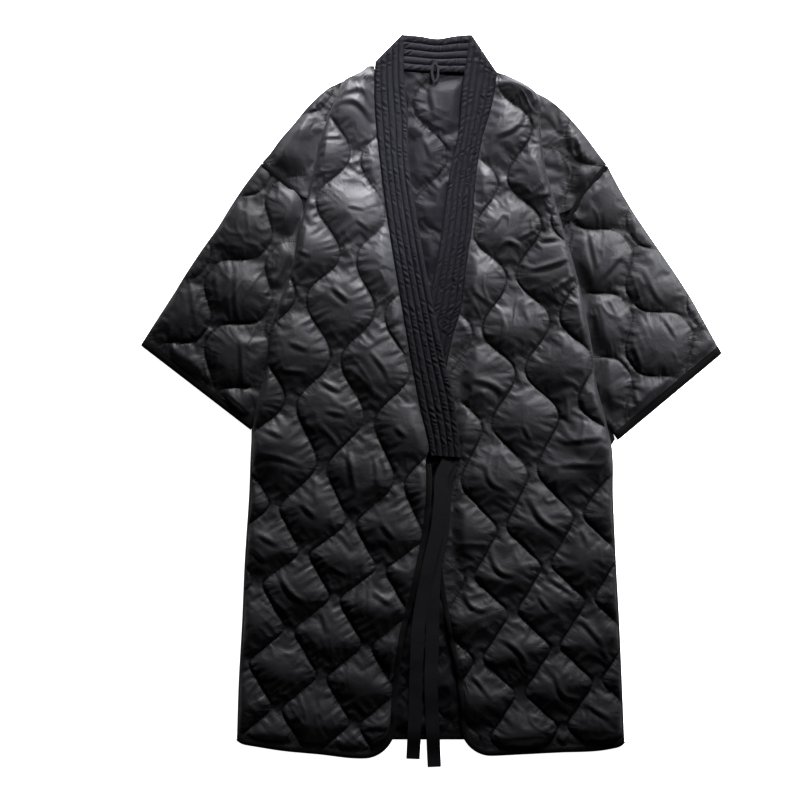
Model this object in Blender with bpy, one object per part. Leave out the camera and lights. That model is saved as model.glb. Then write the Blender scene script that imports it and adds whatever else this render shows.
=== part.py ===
"""A quilted kimono coat laid out on its back, as closed cloth solids.

The cloth is a 2 mm wall with the puffed quilting raised in its outer points.
All tables are in millimetres: X towards the wearer's left, Y towards the head,
Z up from the surface that the coat lies on.  Right and left are the wearer's.
The origin is on that surface, in the middle of the coat's length and width.
"""

import math
from collections import namedtuple

import bmesh
import bpy
import numpy as np

MM = 0.001

# Cloth
WALL = 2.0
PUFF = 6.5
BACK_PUFF = 5.2
SEAM_GAP = 0.4
CURVED_SEAM_GAP = 0.9

# Grids of points: spacing along the fronts, counts across, and steps of the plain insides
GRID_ALONG = 14.5
FRONT_COLUMNS = 15
FOLD_STEPS = 3
SLEEVE_ROWS = 19
SLEEVE_COLUMNS = 16
SHOULDER_ROWS = 11
SHOULDER_COLUMNS = 7
BAND_ROWS = 33
BACK_BAND_ROWS = 13
TIE_ROWS = 26
LOOP_RINGS = 24
PLAIN_ROWS = 3
PLAIN_COLUMNS = 2
PATH_SAMPLES = 60
MOST_LINES = 8

# Where the panels begin and end along Y
RIGHT_UPPER = 500.0
LEFT_UPPER = 488.0
HEM_LEVEL = -505.0
BACK_HEM = -501.0

# Heights of the undersides of the layers above the surface
BACK_TOP = 2.0
ON_BACK = 2.8
SLEEVE_CEILING = 3.2
LIP_UNDER = 5.8
FOLD_RADIUS = 2.8
BAND_OVERLAP = 8.3
ARMHOLE_UNDER = 6.3
EDGE_OVERLAP = 9.0

# Narrow trims
EDGE_BINDING = 8.0
CUFF_BINDING = 12.0
ARMHOLE_BINDING = 8.0
ARMHOLE_THICK = 1.4
TIE_WIDTH = 20.0
TIE_THICK = 1.0
TIE_CLEAR = 0.8
TIE_OVER_TIE = 2.4
BAND_CHANNELS = 5
BAND_RIDGE = 2.4
LOOP_STRAND = 4.0
LOOP_THICK = 1.4

Edge = namedtuple("Edge", "y x")
Spot = namedtuple("Spot", "x y")
Station = namedtuple("Station", "outer_x outer_y inner_x inner_y lift")
Bulb = namedtuple("Bulb", "turn x y")

# Front edges: the seam of the neckband, then the bound opening down to the hem
RIGHT_OPENING = [
    Edge(505, -84), Edge(450, -84), Edge(358, -76), Edge(246, -61), Edge(150, -45),
    Edge(57, -29), Edge(-12, -16), Edge(-74, -2), Edge(-150, 0), Edge(-195, -5),
    Edge(-240, -13), Edge(-298, -25), Edge(-358, -39), Edge(-408, -46), Edge(-520, -54),
]
LEFT_OPENING = [
    Edge(492, 98), Edge(450, 92), Edge(388, 75), Edge(330, 66), Edge(253, 60),
    Edge(195, 51), Edge(133, 43), Edge(100, 33), Edge(49, 22), Edge(-15, 13),
    Edge(-75, 8), Edge(-150, 6), Edge(-256, 9), Edge(-345, 22), Edge(-418, 35),
    Edge(-471, 42), Edge(-520, 44),
]

# Outer edges of the fronts: the shoulder, the fold over the sleeve, the side seam
RIGHT_SIDE = [
    Edge(505, -90), Edge(492, -105), Edge(480, -128), Edge(460, -139), Edge(426, -153),
    Edge(391, -165), Edge(364, -171), Edge(327, -180), Edge(294, -187), Edge(253, -198),
    Edge(223, -203), Edge(183, -214), Edge(114, -238), Edge(33, -250), Edge(-8, -262),
    Edge(-44, -267), Edge(-150, -273), Edge(-240, -279), Edge(-330, -283),
    Edge(-420, -288), Edge(-520, -291),
]
LEFT_SIDE = [
    Edge(492, 101), Edge(480, 127), Edge(462, 155), Edge(418, 163), Edge(379, 166),
    Edge(331, 175), Edge(303, 184), Edge(246, 201), Edge(205, 213), Edge(159, 225),
    Edge(75, 241), Edge(30, 246), Edge(-33, 262), Edge(-69, 270), Edge(-150, 273),
    Edge(-240, 277), Edge(-330, 282), Edge(-420, 286), Edge(-520, 290),
]

# Hems of the fronts without their round corners
RIGHT_HEM = [
    Spot(-291, -514), Spot(-256, -520), Spot(-226, -525), Spot(-166, -531),
    Spot(-106, -537), Spot(-54, -533),
]
LEFT_HEM = [
    Spot(44, -531), Spot(88, -533), Spot(133, -531), Spot(193, -528), Spot(253, -525),
    Spot(290, -518),
]
OPENING_CORNER = 38.0
SIDE_CORNER = 14.0

# Back panel: the shoulders down to the armholes, and the side seams
BACK_RIGHT_SHOULDER = [
    Edge(496, -88), Edge(486, -114), Edge(468, -154), Edge(444, -180), Edge(412, -206),
    Edge(390, -225), Edge(367, -242), Edge(355, -252),
]
BACK_LEFT_SHOULDER = [
    Edge(496, 88), Edge(486, 113), Edge(468, 146), Edge(444, 185), Edge(412, 216),
    Edge(390, 234), Edge(367, 250), Edge(352, 262),
]
BACK_RIGHT_SEAM = [Edge(-47, -269), Edge(-150, -272), Edge(-330, -282), Edge(-501, -290)]
BACK_LEFT_SEAM = [Edge(-62, 270), Edge(-150, 272), Edge(-330, 281), Edge(-501, 289)]

# Sleeves, each as four edges that meet at their ends
RIGHT_SLEEVE = {
    "top": [
        Spot(-254, 355), Spot(-262, 345), Spot(-294, 300), Spot(-322, 255),
        Spot(-354, 210), Spot(-382, 165), Spot(-411, 120), Spot(-435, 82),
    ],
    "under": [Spot(-219, 105), Spot(-236, 55), Spot(-253, 5), Spot(-270, -45)],
    "armhole": [
        Spot(-254, 355), Spot(-213, 321), Spot(-199, 307), Spot(-193, 240),
        Spot(-199, 165), Spot(-219, 105),
    ],
    "cuff": [Spot(-435, 82), Spot(-270, -45)],
}
LEFT_SLEEVE = {
    "top": [
        Spot(264, 352), Spot(292, 300), Spot(321, 255), Spot(352, 210), Spot(382, 165),
        Spot(408, 120), Spot(420, 97), Spot(436, 70),
    ],
    "under": [Spot(216, 90), Spot(234, 40), Spot(256, -25), Spot(280, -60)],
    "armhole": [
        Spot(264, 352), Spot(216, 289), Spot(194, 240), Spot(197, 165), Spot(216, 90),
    ],
    "cuff": [Spot(436, 70), Spot(280, -60)],
}

# Drop shoulders, the part of each front between its fold and the armhole
RIGHT_SHOULDER = {
    "top": [
        Spot(-140, 473), Spot(-156, 465), Spot(-180, 444), Spot(-207, 412),
        Spot(-226, 390), Spot(-243, 367), Spot(-253, 356),
    ],
    "under": [Spot(-124, 464), Spot(-136, 420), Spot(-150, 360), Spot(-168, 300)],
    "armhole": [Spot(-140, 473), Spot(-124, 464)],
    "cuff": [Spot(-253, 356), Spot(-212, 322), Spot(-194, 305), Spot(-168, 300)],
}
LEFT_SHOULDER = {
    "top": [
        Spot(158, 460), Spot(172, 453), Spot(193, 437), Spot(217, 412), Spot(235, 390),
        Spot(252, 367), Spot(263, 353),
    ],
    "under": [
        Spot(143, 458), Spot(144, 420), Spot(147, 370), Spot(162, 300), Spot(172, 272),
    ],
    "armhole": [Spot(158, 460), Spot(143, 458)],
    "cuff": [Spot(263, 353), Spot(240, 322), Spot(215, 290), Spot(172, 272)],
}

# Neckband, from the fold at the back of the neck down to its end
RIGHT_BAND = [
    Station(-84, 506, -41, 549, 7.6), Station(-84, 462, -40, 478, 7.4),
    Station(-82, 420, -35, 426, 6.8), Station(-76, 358, -34, 366, 6.8),
    Station(-61, 246, -17, 248, 7.4), Station(-45, 150, 0, 156, 8.2),
    Station(-29, 57, 20, 62, 8.4), Station(-16, -12, 36, -8, 8.4),
    Station(-2, -82, 44, -86, 8.4),
]
LEFT_BAND = [
    Station(98, 491, 59, 549, 7.6), Station(94, 450, 47, 470, 7.4),
    Station(70, 388, 41, 400, 5.2), Station(65, 330, 27, 334, 3.4),
    Station(60, 253, 16, 250, 3.0), Station(51, 195, 5, 190, 3.0),
    Station(43, 133, -8, 128, 3.0), Station(22, 49, -22, 44, 3.0),
    Station(13, -15, -32, -20, 3.0), Station(8, -75, -38, -78, 3.0),
]
BACK_BAND = [
    Station(-79, 499, -40, 547, 2.8), Station(-40, 494, -18, 545, 2.8),
    Station(8, 491, 9, 541, 2.8), Station(56, 490, 36, 545, 2.8),
    Station(93, 489, 58, 547, 2.8),
]

# Ties, by the middle of each ribbon
RIGHT_TIE = [
    Spot(26, -92), Spot(17, -110), Spot(14, -150), Spot(9, -195), Spot(-4, -250),
    Spot(-12, -290), Spot(-19, -340), Spot(-22, -400), Spot(-24, -470), Spot(-27, -538),
]
LEFT_TIE = [
    Spot(31, -96), Spot(24, -114), Spot(20, -152), Spot(17, -195), Spot(6, -250),
    Spot(3, -300), Spot(2, -360), Spot(0, -420), Spot(2, -480), Spot(5, -550),
]
HANGER_LOOP = Spot(6, 490)
LOOP_UNDER = 7.6
LOOP_LENGTH = 30.0
LOOP_WIDTH = 13.0

# Quilting: the middles of one column of bulbs, by turn of the wave
RIGHT_BULBS = [
    Bulb(-2, -92, 588), Bulb(-1, -106, 438), Bulb(0, -121, 288), Bulb(1, -136, 141),
    Bulb(2, -151, -18), Bulb(3, -177, -171), Bulb(4, -202, -285), Bulb(5, -222, -403),
    Bulb(6, -240, -520), Bulb(7, -258, -637),
]
LEFT_BULBS = [
    Bulb(-2, 87, 544), Bulb(-1, 100, 400), Bulb(0, 114, 256), Bulb(1, 127, 112),
    Bulb(2, 141, -30), Bulb(3, 163, -183), Bulb(4, 180, -309), Bulb(5, 191, -430),
    Bulb(6, 202, -547), Bulb(7, 213, -660),
]
BACK_BULBS = [
    Bulb(-1, 4, 560), Bulb(0, 4, 413), Bulb(1, 4, 266), Bulb(2, 4, 119),
    Bulb(3, 4, -28), Bulb(4, 4, -175), Bulb(5, 4, -292), Bulb(6, 4, -409),
    Bulb(7, 4, -526),
]
SLEEVE_PERIOD = 154.0
WAVE = 20.0


def smooth_step(low, high, at):
    """Rise from 0 at low to 1 at high with no corner."""
    t = np.clip((np.asarray(at, float) - low) / (high - low), 0.0, 1.0)
    return t * t * (3.0 - 2.0 * t)


def curve_value(places, values, at):
    """Read a smooth curve through values at rising places."""
    places = np.asarray(places, float)
    values = np.asarray(values, float)
    slopes = np.gradient(values, places)
    at = np.clip(np.asarray(at, float), places[0], places[-1])
    piece = np.clip(np.searchsorted(places, at, side="right") - 1, 0, len(places) - 2)
    span = places[piece + 1] - places[piece]
    t = (at - places[piece]) / span
    start = (1 + 2 * t) * (1 - t) ** 2 * values[piece] + t * (1 - t) ** 2 * span * slopes[piece]
    end = t * t * (3 - 2 * t) * values[piece + 1] + t * t * (t - 1) * span * slopes[piece + 1]
    return start + end


def edge_x(rows, y):
    """X of an edge table at Y; the table runs from the head to the hem."""
    rows = rows[::-1]
    return curve_value([r.y for r in rows], [r.x for r in rows], y)


def spot_curve(spots, t):
    """Points on a smooth curve through the spots, t from 0 to 1 by length."""
    xy = np.array([(s.x, s.y) for s in spots], float)
    steps = np.linalg.norm(np.diff(xy, axis=0), axis=1)
    run = np.concatenate([[0.0], np.cumsum(steps)])
    at = np.asarray(t, float) * run[-1]
    return np.stack([curve_value(run, xy[:, 0], at), curve_value(run, xy[:, 1], at)], axis=-1)


class Quilting:
    """Onion quilting: wavy stitch lines whose neighbours mirror each other."""

    def __init__(self, bulbs, spacing, slant):
        """Take the bulb table, the lines' spacing and how much the rows rise per mm."""
        rows = bulbs[::-1]
        self.y = [b.y for b in rows]
        self.x = [b.x for b in rows]
        self.turn = [b.turn for b in rows]
        self.spacing = spacing
        self.slant = slant

    def frame(self, x, y):
        """Place across and along the columns of bulbs."""
        return x - curve_value(self.y, self.x, y), y

    def turns(self, along, across):
        """Number of turns of the wave at a place."""
        return curve_value(self.y, self.turn, along - self.slant * across)

    def line(self, number, along):
        """Place across the columns of one stitch line."""
        middle = (number + 0.5) * self.spacing
        wave = WAVE * np.cos(2 * math.pi * self.turns(along, middle))
        return middle + (wave if number % 2 == 0 else -wave)

    def height(self, x, y):
        """Puffed height from 0 on a stitch line to 1 in the middle of a bulb."""
        across, along = self.frame(np.asarray(x, float), np.asarray(y, float))
        best = np.zeros_like(across)
        for number in range(-MOST_LINES, MOST_LINES + 1):
            low = self.line(number - 1, along)
            high = self.line(number, along)
            width = high - low
            t = (across - low) / width
            inside = (t > 0) & (t < 1)
            arch = np.sin(math.pi * np.clip(t, 0, 1)) ** 0.75
            size = np.clip(width / (self.spacing + 2 * WAVE), 0.0, 1.0) ** 0.8
            best = np.where(inside, arch * size, best)
        return best

    def crossings(self, path):
        """Where a path of XY points crosses the stitch lines, as shares of its points."""
        across, along = self.frame(path[:, 0], path[:, 1])
        found = []
        for number in range(-MOST_LINES, MOST_LINES + 1):
            side = across - self.line(number, along)
            for i in np.nonzero(side[:-1] * side[1:] < 0)[0]:
                share = side[i] / (side[i] - side[i + 1])
                found.append((i + share) / (len(path) - 1))
        return sorted(found)


class ArmQuilting(Quilting):
    """The same quilting with its columns along a sleeve."""

    def __init__(self, middle, arm, spacing):
        """Take the middle of one bulb and the direction of the arm."""
        self.middle = middle
        self.arm = arm
        self.spacing = spacing

    def frame(self, x, y):
        """Place across and along the arm."""
        dx = x - self.middle.x
        dy = y - self.middle.y
        along = dx * self.arm[0] + dy * self.arm[1]
        across = dx * -self.arm[1] + dy * self.arm[0]
        return across, along

    def turns(self, along, across):
        """Number of turns of the wave at a place."""
        return along / SLEEVE_PERIOD


RIGHT_QUILT = Quilting(RIGHT_BULBS, 60.0, -0.18)
LEFT_QUILT = Quilting(LEFT_BULBS, 58.5, 0.143)
BACK_QUILT = Quilting(BACK_BULBS, 60.0, 0.0)
RIGHT_ARM_QUILT = ArmQuilting(Spot(-289, 258), (-0.592, -0.806), 57.0)
LEFT_ARM_QUILT = ArmQuilting(Spot(251, 208), (0.592, -0.806), 57.0)


def snapped_shares(quilt, path, count):
    """Shares along a path for count columns, some moved onto the stitch lines."""
    anchors = {0: 0.0, count - 1: 1.0}
    for share in quilt.crossings(path):
        column = int(round(share * (count - 1)))
        if 0 < column < count - 1 and column not in anchors:
            anchors[column] = share
    columns = sorted(anchors)
    shares = np.interp(np.arange(count), columns, [anchors[c] for c in columns])
    on_line = np.zeros(count, bool)
    on_line[[c for c in columns if 0 < c < count - 1]] = True
    return shares, on_line


class Solid:
    """Points and faces of one closed piece, in millimetres."""

    def __init__(self):
        """Start with nothing."""
        self.points = []
        self.faces = []

    def add(self, grid):
        """Add an array of points and give their numbers in the same shape."""
        grid = np.asarray(grid, float)
        first = len(self.points)
        self.points.extend(grid.reshape(-1, 3).tolist())
        return np.arange(first, len(self.points)).reshape(grid.shape[:-1])

    def skin(self, ids, valley=None):
        """Two triangles for each cell, split along the stitch line where one passes."""
        rows, columns = ids.shape
        for i in range(rows - 1):
            for j in range(columns - 1):
                a, b = ids[i, j], ids[i, j + 1]
                d, c = ids[i + 1, j], ids[i + 1, j + 1]
                falls = valley is not None and valley[i, j + 1] and valley[i + 1, j]
                if falls:
                    self.faces += [(a, b, d), (b, c, d)]
                else:
                    self.faces += [(a, b, c), (a, c, d)]

    def rim(self, fine, coarse_at, coarse):
        """Join a chain of points to a sparser chain that starts at chosen points of it."""
        for k in range(len(coarse) - 1):
            stretch = [fine[m] for m in range(coarse_at[k], coarse_at[k + 1] + 1)]
            self.faces.append(tuple([coarse[k]] + stretch + [coarse[k + 1]]))

    def make(self, name, material):
        """Turn the piece into a Blender object in metres."""
        shape = bmesh.new()
        verts = [shape.verts.new([value * MM for value in p]) for p in self.points]
        for face in self.faces:
            shape.faces.new([verts[i] for i in face])
        bmesh.ops.remove_doubles(shape, verts=shape.verts, dist=0.00001)
        bmesh.ops.recalc_face_normals(shape, faces=shape.faces)
        bmesh.ops.triangulate(shape, faces=[f for f in shape.faces if len(f.verts) > 3])
        mesh = bpy.data.meshes.new(name)
        shape.to_mesh(mesh)
        shape.free()
        piece = bpy.data.objects.new(name, mesh)
        bpy.context.collection.objects.link(piece)
        mesh.materials.append(material)
        mesh.shade_smooth()
        mesh.set_sharp_from_angle(angle=math.radians(50))
        return piece


def sparse(count, step, keep=()):
    """Every step-th number below count, with the last and those to keep."""
    return sorted(set(range(0, count, step)) | {count - 1} | set(keep))


def sheet_solid(outer, inner, valley=None, row_at=None, columns=None):
    """A wall between a fine outer grid and a sparser inner grid, closed all round."""
    piece = Solid()
    rows, cols = outer.shape[:2]
    row_at = row_at or sparse(rows, PLAIN_ROWS)
    col_at = columns or sparse(cols, PLAIN_COLUMNS)
    top = piece.add(outer)
    under = piece.add(inner[np.ix_(row_at, col_at)])
    piece.skin(top, valley)
    piece.skin(under)
    piece.rim(top[0], col_at, under[0])
    piece.rim(top[-1], col_at, under[-1])
    piece.rim(top[:, 0], row_at, under[:, 0])
    piece.rim(top[:, -1], row_at, under[:, -1])
    return piece


def front_levels(y, upper):
    """Fold of a front's outer edge: middle height, radius, turn and lip by row."""
    over_sleeve = smooth_step(-120.0, -66.0, y) * (1 - smooth_step(upper - 18, upper - 2, y))
    low_middle = ON_BACK + 0.6
    high_middle = LIP_UNDER + WALL / 2 + FOLD_RADIUS
    middle = low_middle + (high_middle - low_middle) * over_sleeve
    turn = math.radians(90.0) * (1.0 + over_sleeve)
    lip = 1.0 + 23.0 * smooth_step(-60.0, 10.0, y) * (1 - smooth_step(upper - 70, upper - 28, y))
    return middle, FOLD_RADIUS, turn, lip


class Front:
    """One front panel, from the neckband seam and opening to the side."""

    def __init__(self, opening, side, hem, quilt, sign, upper):
        """Take the edge tables, the quilting and the side the panel is on."""
        self.opening = opening
        self.side = side
        self.hem = hem
        self.quilt = quilt
        self.sign = sign
        self.upper = upper
        self.over_other = sign < 0

    def hem_y(self, x):
        """Y of the hem at X, with round corners at the opening and the side."""
        xs = np.array([s.x for s in self.hem], float)
        y = curve_value(xs, [s.y for s in self.hem], x)
        opening_x = edge_x(self.opening, HEM_LEVEL) + self.sign * EDGE_BINDING
        side_x = edge_x(self.side, HEM_LEVEL)
        for corner_x, radius, inward in (
            (opening_x, OPENING_CORNER, self.sign),
            (side_x, SIDE_CORNER, -self.sign),
        ):
            near = np.clip(radius - (x - corner_x) * inward, 0.0, radius)
            y = y + radius - np.sqrt(np.maximum(radius**2 - near**2, 0.0))
        return y + EDGE_BINDING

    def opening_x(self, y):
        """X of the panel's inner edge: at the band's seam, or inside the binding."""
        bound = 1 - smooth_step(-92.0, -72.0, y)
        inset = CURVED_SEAM_GAP + (EDGE_BINDING - CURVED_SEAM_GAP) * bound
        return edge_x(self.opening, y) + self.sign * inset

    def base(self, x, y):
        """Height of the wall's middle before the quilting."""
        from_side = np.abs(x - edge_x(self.side, y))
        from_opening = np.abs(x - edge_x(self.opening, y))
        middle, radius, _, _ = front_levels(y, self.upper)
        rest = ON_BACK + WALL / 2
        side_top = middle + radius
        height = rest + (side_top - rest) * (1 - smooth_step(8.0, 84.0, from_side))
        if self.over_other:
            over_band = smooth_step(-120.0, -80.0, y) * (1 - smooth_step(200.0, 330.0, y))
            over_edge = smooth_step(-420.0, -300.0, y) * (1 - smooth_step(-120.0, -80.0, y))
            raised = over_band * (BAND_OVERLAP - ON_BACK) + over_edge * (EDGE_OVERLAP - ON_BACK)
            height = height + raised * (1 - smooth_step(46.0, 120.0, from_opening))
        return height

    def relief(self, x, y):
        """Height of the quilting above the outer side of the wall."""
        from_side = np.abs(x - edge_x(self.side, y))
        from_opening = np.abs(x - edge_x(self.opening, y))
        fade = smooth_step(0.0, 26.0, from_side) * smooth_step(2.0, 20.0, from_opening)
        fade = np.maximum(fade, 0.22)
        to_hem = smooth_step(0.0, 24.0, y - self.hem_y(x) + 2.0)
        hidden = 1.0
        if not self.over_other:
            under_band = smooth_step(-330.0, -290.0, y) * (1 - smooth_step(60.0, 120.0, y))
            hidden = 1 - under_band * (1 - smooth_step(24.0, 46.0, from_opening))
        return PUFF * self.quilt.height(x, y) * fade * np.maximum(to_hem, 0.2) * hidden

    def top(self, x, y):
        """Height of the outer side of the wall, for what lies on it."""
        return self.base(x, y) + WALL / 2 + self.relief(x, y)

    def row_y(self, at, x):
        """Y of a row at X; the last rows bend towards the hem's curve."""
        y = self.upper + (HEM_LEVEL - self.upper) * at
        bend = smooth_step(0.72, 1.0, at)
        return y + (self.hem_y(x) - HEM_LEVEL) * bend

    def build(self, name, material):
        """Make the panel with its folded outer edge."""
        rows = int((self.upper - HEM_LEVEL) / GRID_ALONG) + 1
        columns = FRONT_COLUMNS + FOLD_STEPS + 1
        outer = np.zeros((rows, columns, 3))
        inner = np.zeros((rows, columns, 3))
        valley = np.zeros((rows, columns), bool)
        for i in range(rows):
            at = i / (rows - 1)
            level_y = self.upper + (HEM_LEVEL - self.upper) * at
            start = float(self.opening_x(level_y))
            middle, radius, turn, lip = front_levels(level_y, self.upper)
            reach = radius + WALL / 2
            end = float(edge_x(self.side, level_y)) - self.sign * reach
            xs = np.linspace(start, end, PATH_SAMPLES)
            path = np.stack([xs, self.row_y(at, xs)], axis=-1)
            shares, on_line = snapped_shares(self.quilt, path, FRONT_COLUMNS)
            x = start + (end - start) * shares
            y = self.row_y(at, x)
            z = self.base(x, y)
            outer[i, :FRONT_COLUMNS] = np.stack(
                [x, y, z + WALL / 2 + self.relief(x, y)], axis=-1
            )
            inner[i, :FRONT_COLUMNS] = np.stack([x, y, z - WALL / 2], axis=-1)
            valley[i, :FRONT_COLUMNS] = on_line
            centre_z = z[-1] - radius
            for k in range(1, FOLD_STEPS + 1):
                angle = turn * k / FOLD_STEPS
                away = np.array([self.sign * math.sin(angle), 0.0, math.cos(angle)])
                centre = np.array([end, y[-1], centre_z])
                j = FRONT_COLUMNS - 1 + k
                outer[i, j] = centre + away * (radius + WALL / 2)
                inner[i, j] = centre + away * (radius - WALL / 2)
            onward = np.array([self.sign * math.cos(turn), 0.0, -math.sin(turn)]) * lip
            outer[i, -1] = outer[i, -2] + onward
            inner[i, -1] = inner[i, -2] + onward
        keep_columns = sparse(FRONT_COLUMNS, PLAIN_COLUMNS, range(FRONT_COLUMNS, columns))
        level = outer[:, 0, 1]
        turning = ((level > -140) & (level < 30)) | (level > self.upper - 80)
        keep_rows = sparse(rows, PLAIN_ROWS, np.nonzero(turning)[0].tolist())
        piece = sheet_solid(outer, inner, valley, keep_rows, keep_columns)
        self.outer = outer
        self.inner = inner
        return piece.make(name, material)


def coons_point(sides, u, v):
    """Point of a four-sided patch: u from the top edge to the under edge."""
    top = spot_curve(sides["top"], v)
    under = spot_curve(sides["under"], v)
    start = spot_curve(sides["armhole"], u)
    end = spot_curve(sides["cuff"], u)
    c00, c01 = spot_curve(sides["top"], 0.0), spot_curve(sides["top"], 1.0)
    c10, c11 = spot_curve(sides["under"], 0.0), spot_curve(sides["under"], 1.0)
    u = np.asarray(u, float)[..., None]
    v = np.asarray(v, float)[..., None]
    corners = (1 - u) * ((1 - v) * c00 + v * c01) + u * ((1 - v) * c10 + v * c11)
    return (1 - u) * top + u * under + (1 - v) * start + v * end - corners


def outside_fold(side, sign, x, y):
    """How far a point lies outside a front's folded edge."""
    return (x - edge_x(side, y)) * sign


def patch_rows(sides, quilt, rows, columns, first, last):
    """Points and stitch marks of a patch, rows between two shares of its length."""
    points = np.zeros((rows, columns, 2))
    valley = np.zeros((rows, columns), bool)
    for i, v in enumerate(np.linspace(first, last, rows)):
        dense = np.linspace(0.0, 1.0, PATH_SAMPLES)
        path = coons_point(sides, dense, np.full(PATH_SAMPLES, v))
        shares, on_line = snapped_shares(quilt, path, columns)
        points[i] = coons_point(sides, shares, np.full(columns, v))
        valley[i] = on_line
    return points, valley


def trimmed(sides, amount):
    """The same patch with its cuff moved back along both edges."""
    cut = dict(sides)
    for side in ("top", "under"):
        dense = spot_curve(sides[side], np.linspace(0.0, 1.0, 9))
        length = np.linalg.norm(np.diff(dense, axis=0), axis=1).sum()
        kept = spot_curve(sides[side], np.linspace(0.0, 1.0 - amount / length, 9))
        cut[side] = [Spot(x, y) for x, y in kept]
    cut["cuff"] = [cut["top"][-1], cut["under"][-1]]
    return cut


def tube_solid(outer, inner, row_at, stops, marks):
    """A tube's wall between a fine outer ring grid and a sparser inner one."""
    piece = Solid()
    out_ids = piece.add(outer)
    in_ids = piece.add(inner[row_at])
    ring = np.concatenate([out_ids, out_ids[:, :1]], axis=1)
    inside_ring = np.concatenate([in_ids, in_ids[:, :1]], axis=1)
    piece.skin(ring, np.concatenate([marks, marks[:, :1]], axis=1))
    piece.skin(inside_ring)
    for end in (0, -1):
        piece.rim(list(ring[end]), stops + [ring.shape[1] - 1], list(inside_ring[end]))
    return piece


def build_sleeve(name, material, whole_sides, quilt, front_side, sign):
    """A flattened tube, open at the armhole and the cuff."""
    sides = trimmed(whole_sides, CUFF_BINDING)
    length = np.linalg.norm(spot_curve(sides["top"], 1.0) - spot_curve(sides["top"], 0.0))
    first = 1.2 / length
    rows, columns = SLEEVE_ROWS, SLEEVE_COLUMNS
    run = np.linspace(first, 1.0, rows)
    points, valley = patch_rows(sides, quilt, rows, columns, first, 1.0)
    x, y = points[..., 0], points[..., 1]
    shown = smooth_step(1.0, 24.0, outside_fold(front_side, sign, x, y))
    edge = np.sin(np.linspace(0, math.pi, columns)) ** 0.35
    ends = smooth_step(0.0, 0.06, run - first) * np.maximum(smooth_step(0.0, 0.07, 1.0 - run), 0.15)
    relief = PUFF * quilt.height(x, y) * shown * edge[None, :] * ends[:, None]
    ceiling = SLEEVE_CEILING + WALL
    level = np.full(columns, ceiling)
    level[[0, -1]] = 0.45 * ceiling
    beneath = [0.97, 0.75, 0.5, 0.25, 0.03]
    stops = [0, 5, 10, 15, 16, 18, 20]
    within = [0.06, 0.33, 0.67, 0.94, 0.94, 0.5, 0.06]
    heights = [SLEEVE_CEILING] * 4 + [BACK_TOP] * 3
    outer = np.zeros((rows, columns + len(beneath), 3))
    inner = np.zeros((rows, len(stops), 3))
    outer[:, :columns] = np.dstack([x, y, level[None, :] + relief])
    for i, v in enumerate(run):
        outer[i, columns:, :2] = coons_point(sides, beneath, np.full(len(beneath), v))
        inner[i, :, :2] = coons_point(sides, within, np.full(len(within), v))
    inner[..., 2] = heights
    marks = np.zeros(outer.shape[:2], bool)
    marks[:, :columns] = valley
    return tube_solid(outer, inner, sparse(rows, PLAIN_ROWS), stops, marks).make(name, material)


def build_shoulder(name, material, sides, quilt, front_side, sign):
    """The drop shoulder between the fold and the armhole, on the back panel."""
    rows, columns = SHOULDER_ROWS, SHOULDER_COLUMNS
    last = 1.0 - 0.006
    points, valley = patch_rows(sides, quilt, rows, columns, 0.0, last)
    x, y = points[..., 0], points[..., 1]
    shown = smooth_step(1.0, 22.0, outside_fold(front_side, sign, x, y))
    rounded = smooth_step(0.0, 0.25, np.linspace(0, 1, columns))[None, :]
    to_seam = smooth_step(0.0, 0.2, np.linspace(last, 0.0, rows))[:, None]
    relief = PUFF * quilt.height(x, y) * shown * rounded * to_seam
    top = ON_BACK + WALL - 0.6 + 0.6 * rounded + relief
    outer = np.dstack([x, y, top])
    inner = np.dstack([x, y, np.full_like(x, ON_BACK - 0.3)])
    piece = sheet_solid(outer, inner, valley, sparse(rows, PLAIN_ROWS), [0, 3, 6])
    return piece.make(name, material)


def back_outline(sign):
    """X and Y down one side of the back panel, just inside the sleeve it is sewn to."""
    shoulder = BACK_RIGHT_SHOULDER if sign < 0 else BACK_LEFT_SHOULDER
    seam = BACK_RIGHT_SEAM if sign < 0 else BACK_LEFT_SEAM
    sleeve = RIGHT_SLEEVE if sign < 0 else LEFT_SLEEVE
    inward = np.array([-sign * 1.0, 0.0])
    armhole = spot_curve(sleeve["armhole"], np.linspace(0.02, 1.0, 30)) + inward
    under = spot_curve(sleeve["under"], np.linspace(0.06, 0.98, 12)) + inward
    rows = [np.array([(e.x, e.y) for e in shoulder]), armhole, under,
            np.array([(e.x, e.y) for e in seam])]
    return np.concatenate(rows)


def back_rows():
    """Y of the back panel's rows, close together where its inside shows."""
    shown_neck = np.linspace(496, 130, 25)
    hidden = np.linspace(105, -235, 13)
    shown_skirt = np.linspace(-262, BACK_HEM, 14)
    corners = [352.0, 321.0, -45.0, -61.0]
    return np.array(sorted(set(np.concatenate([shown_neck, hidden, shown_skirt, corners])))[::-1])


def back_top(x, y):
    """Height of the back panel's inside, puffed where it shows."""
    x = np.asarray(x, float)
    ends = smooth_step(BACK_HEM, -480, y) * (1 - smooth_step(462, 484, y))
    covered = 1 - smooth_step(-300, -262, y) * (1 - smooth_step(110, 160, y))
    puffed = BACK_PUFF * BACK_QUILT.height(x, np.full_like(x, y))
    return BACK_TOP + puffed * ends * covered * band_clear(x, y)


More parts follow.
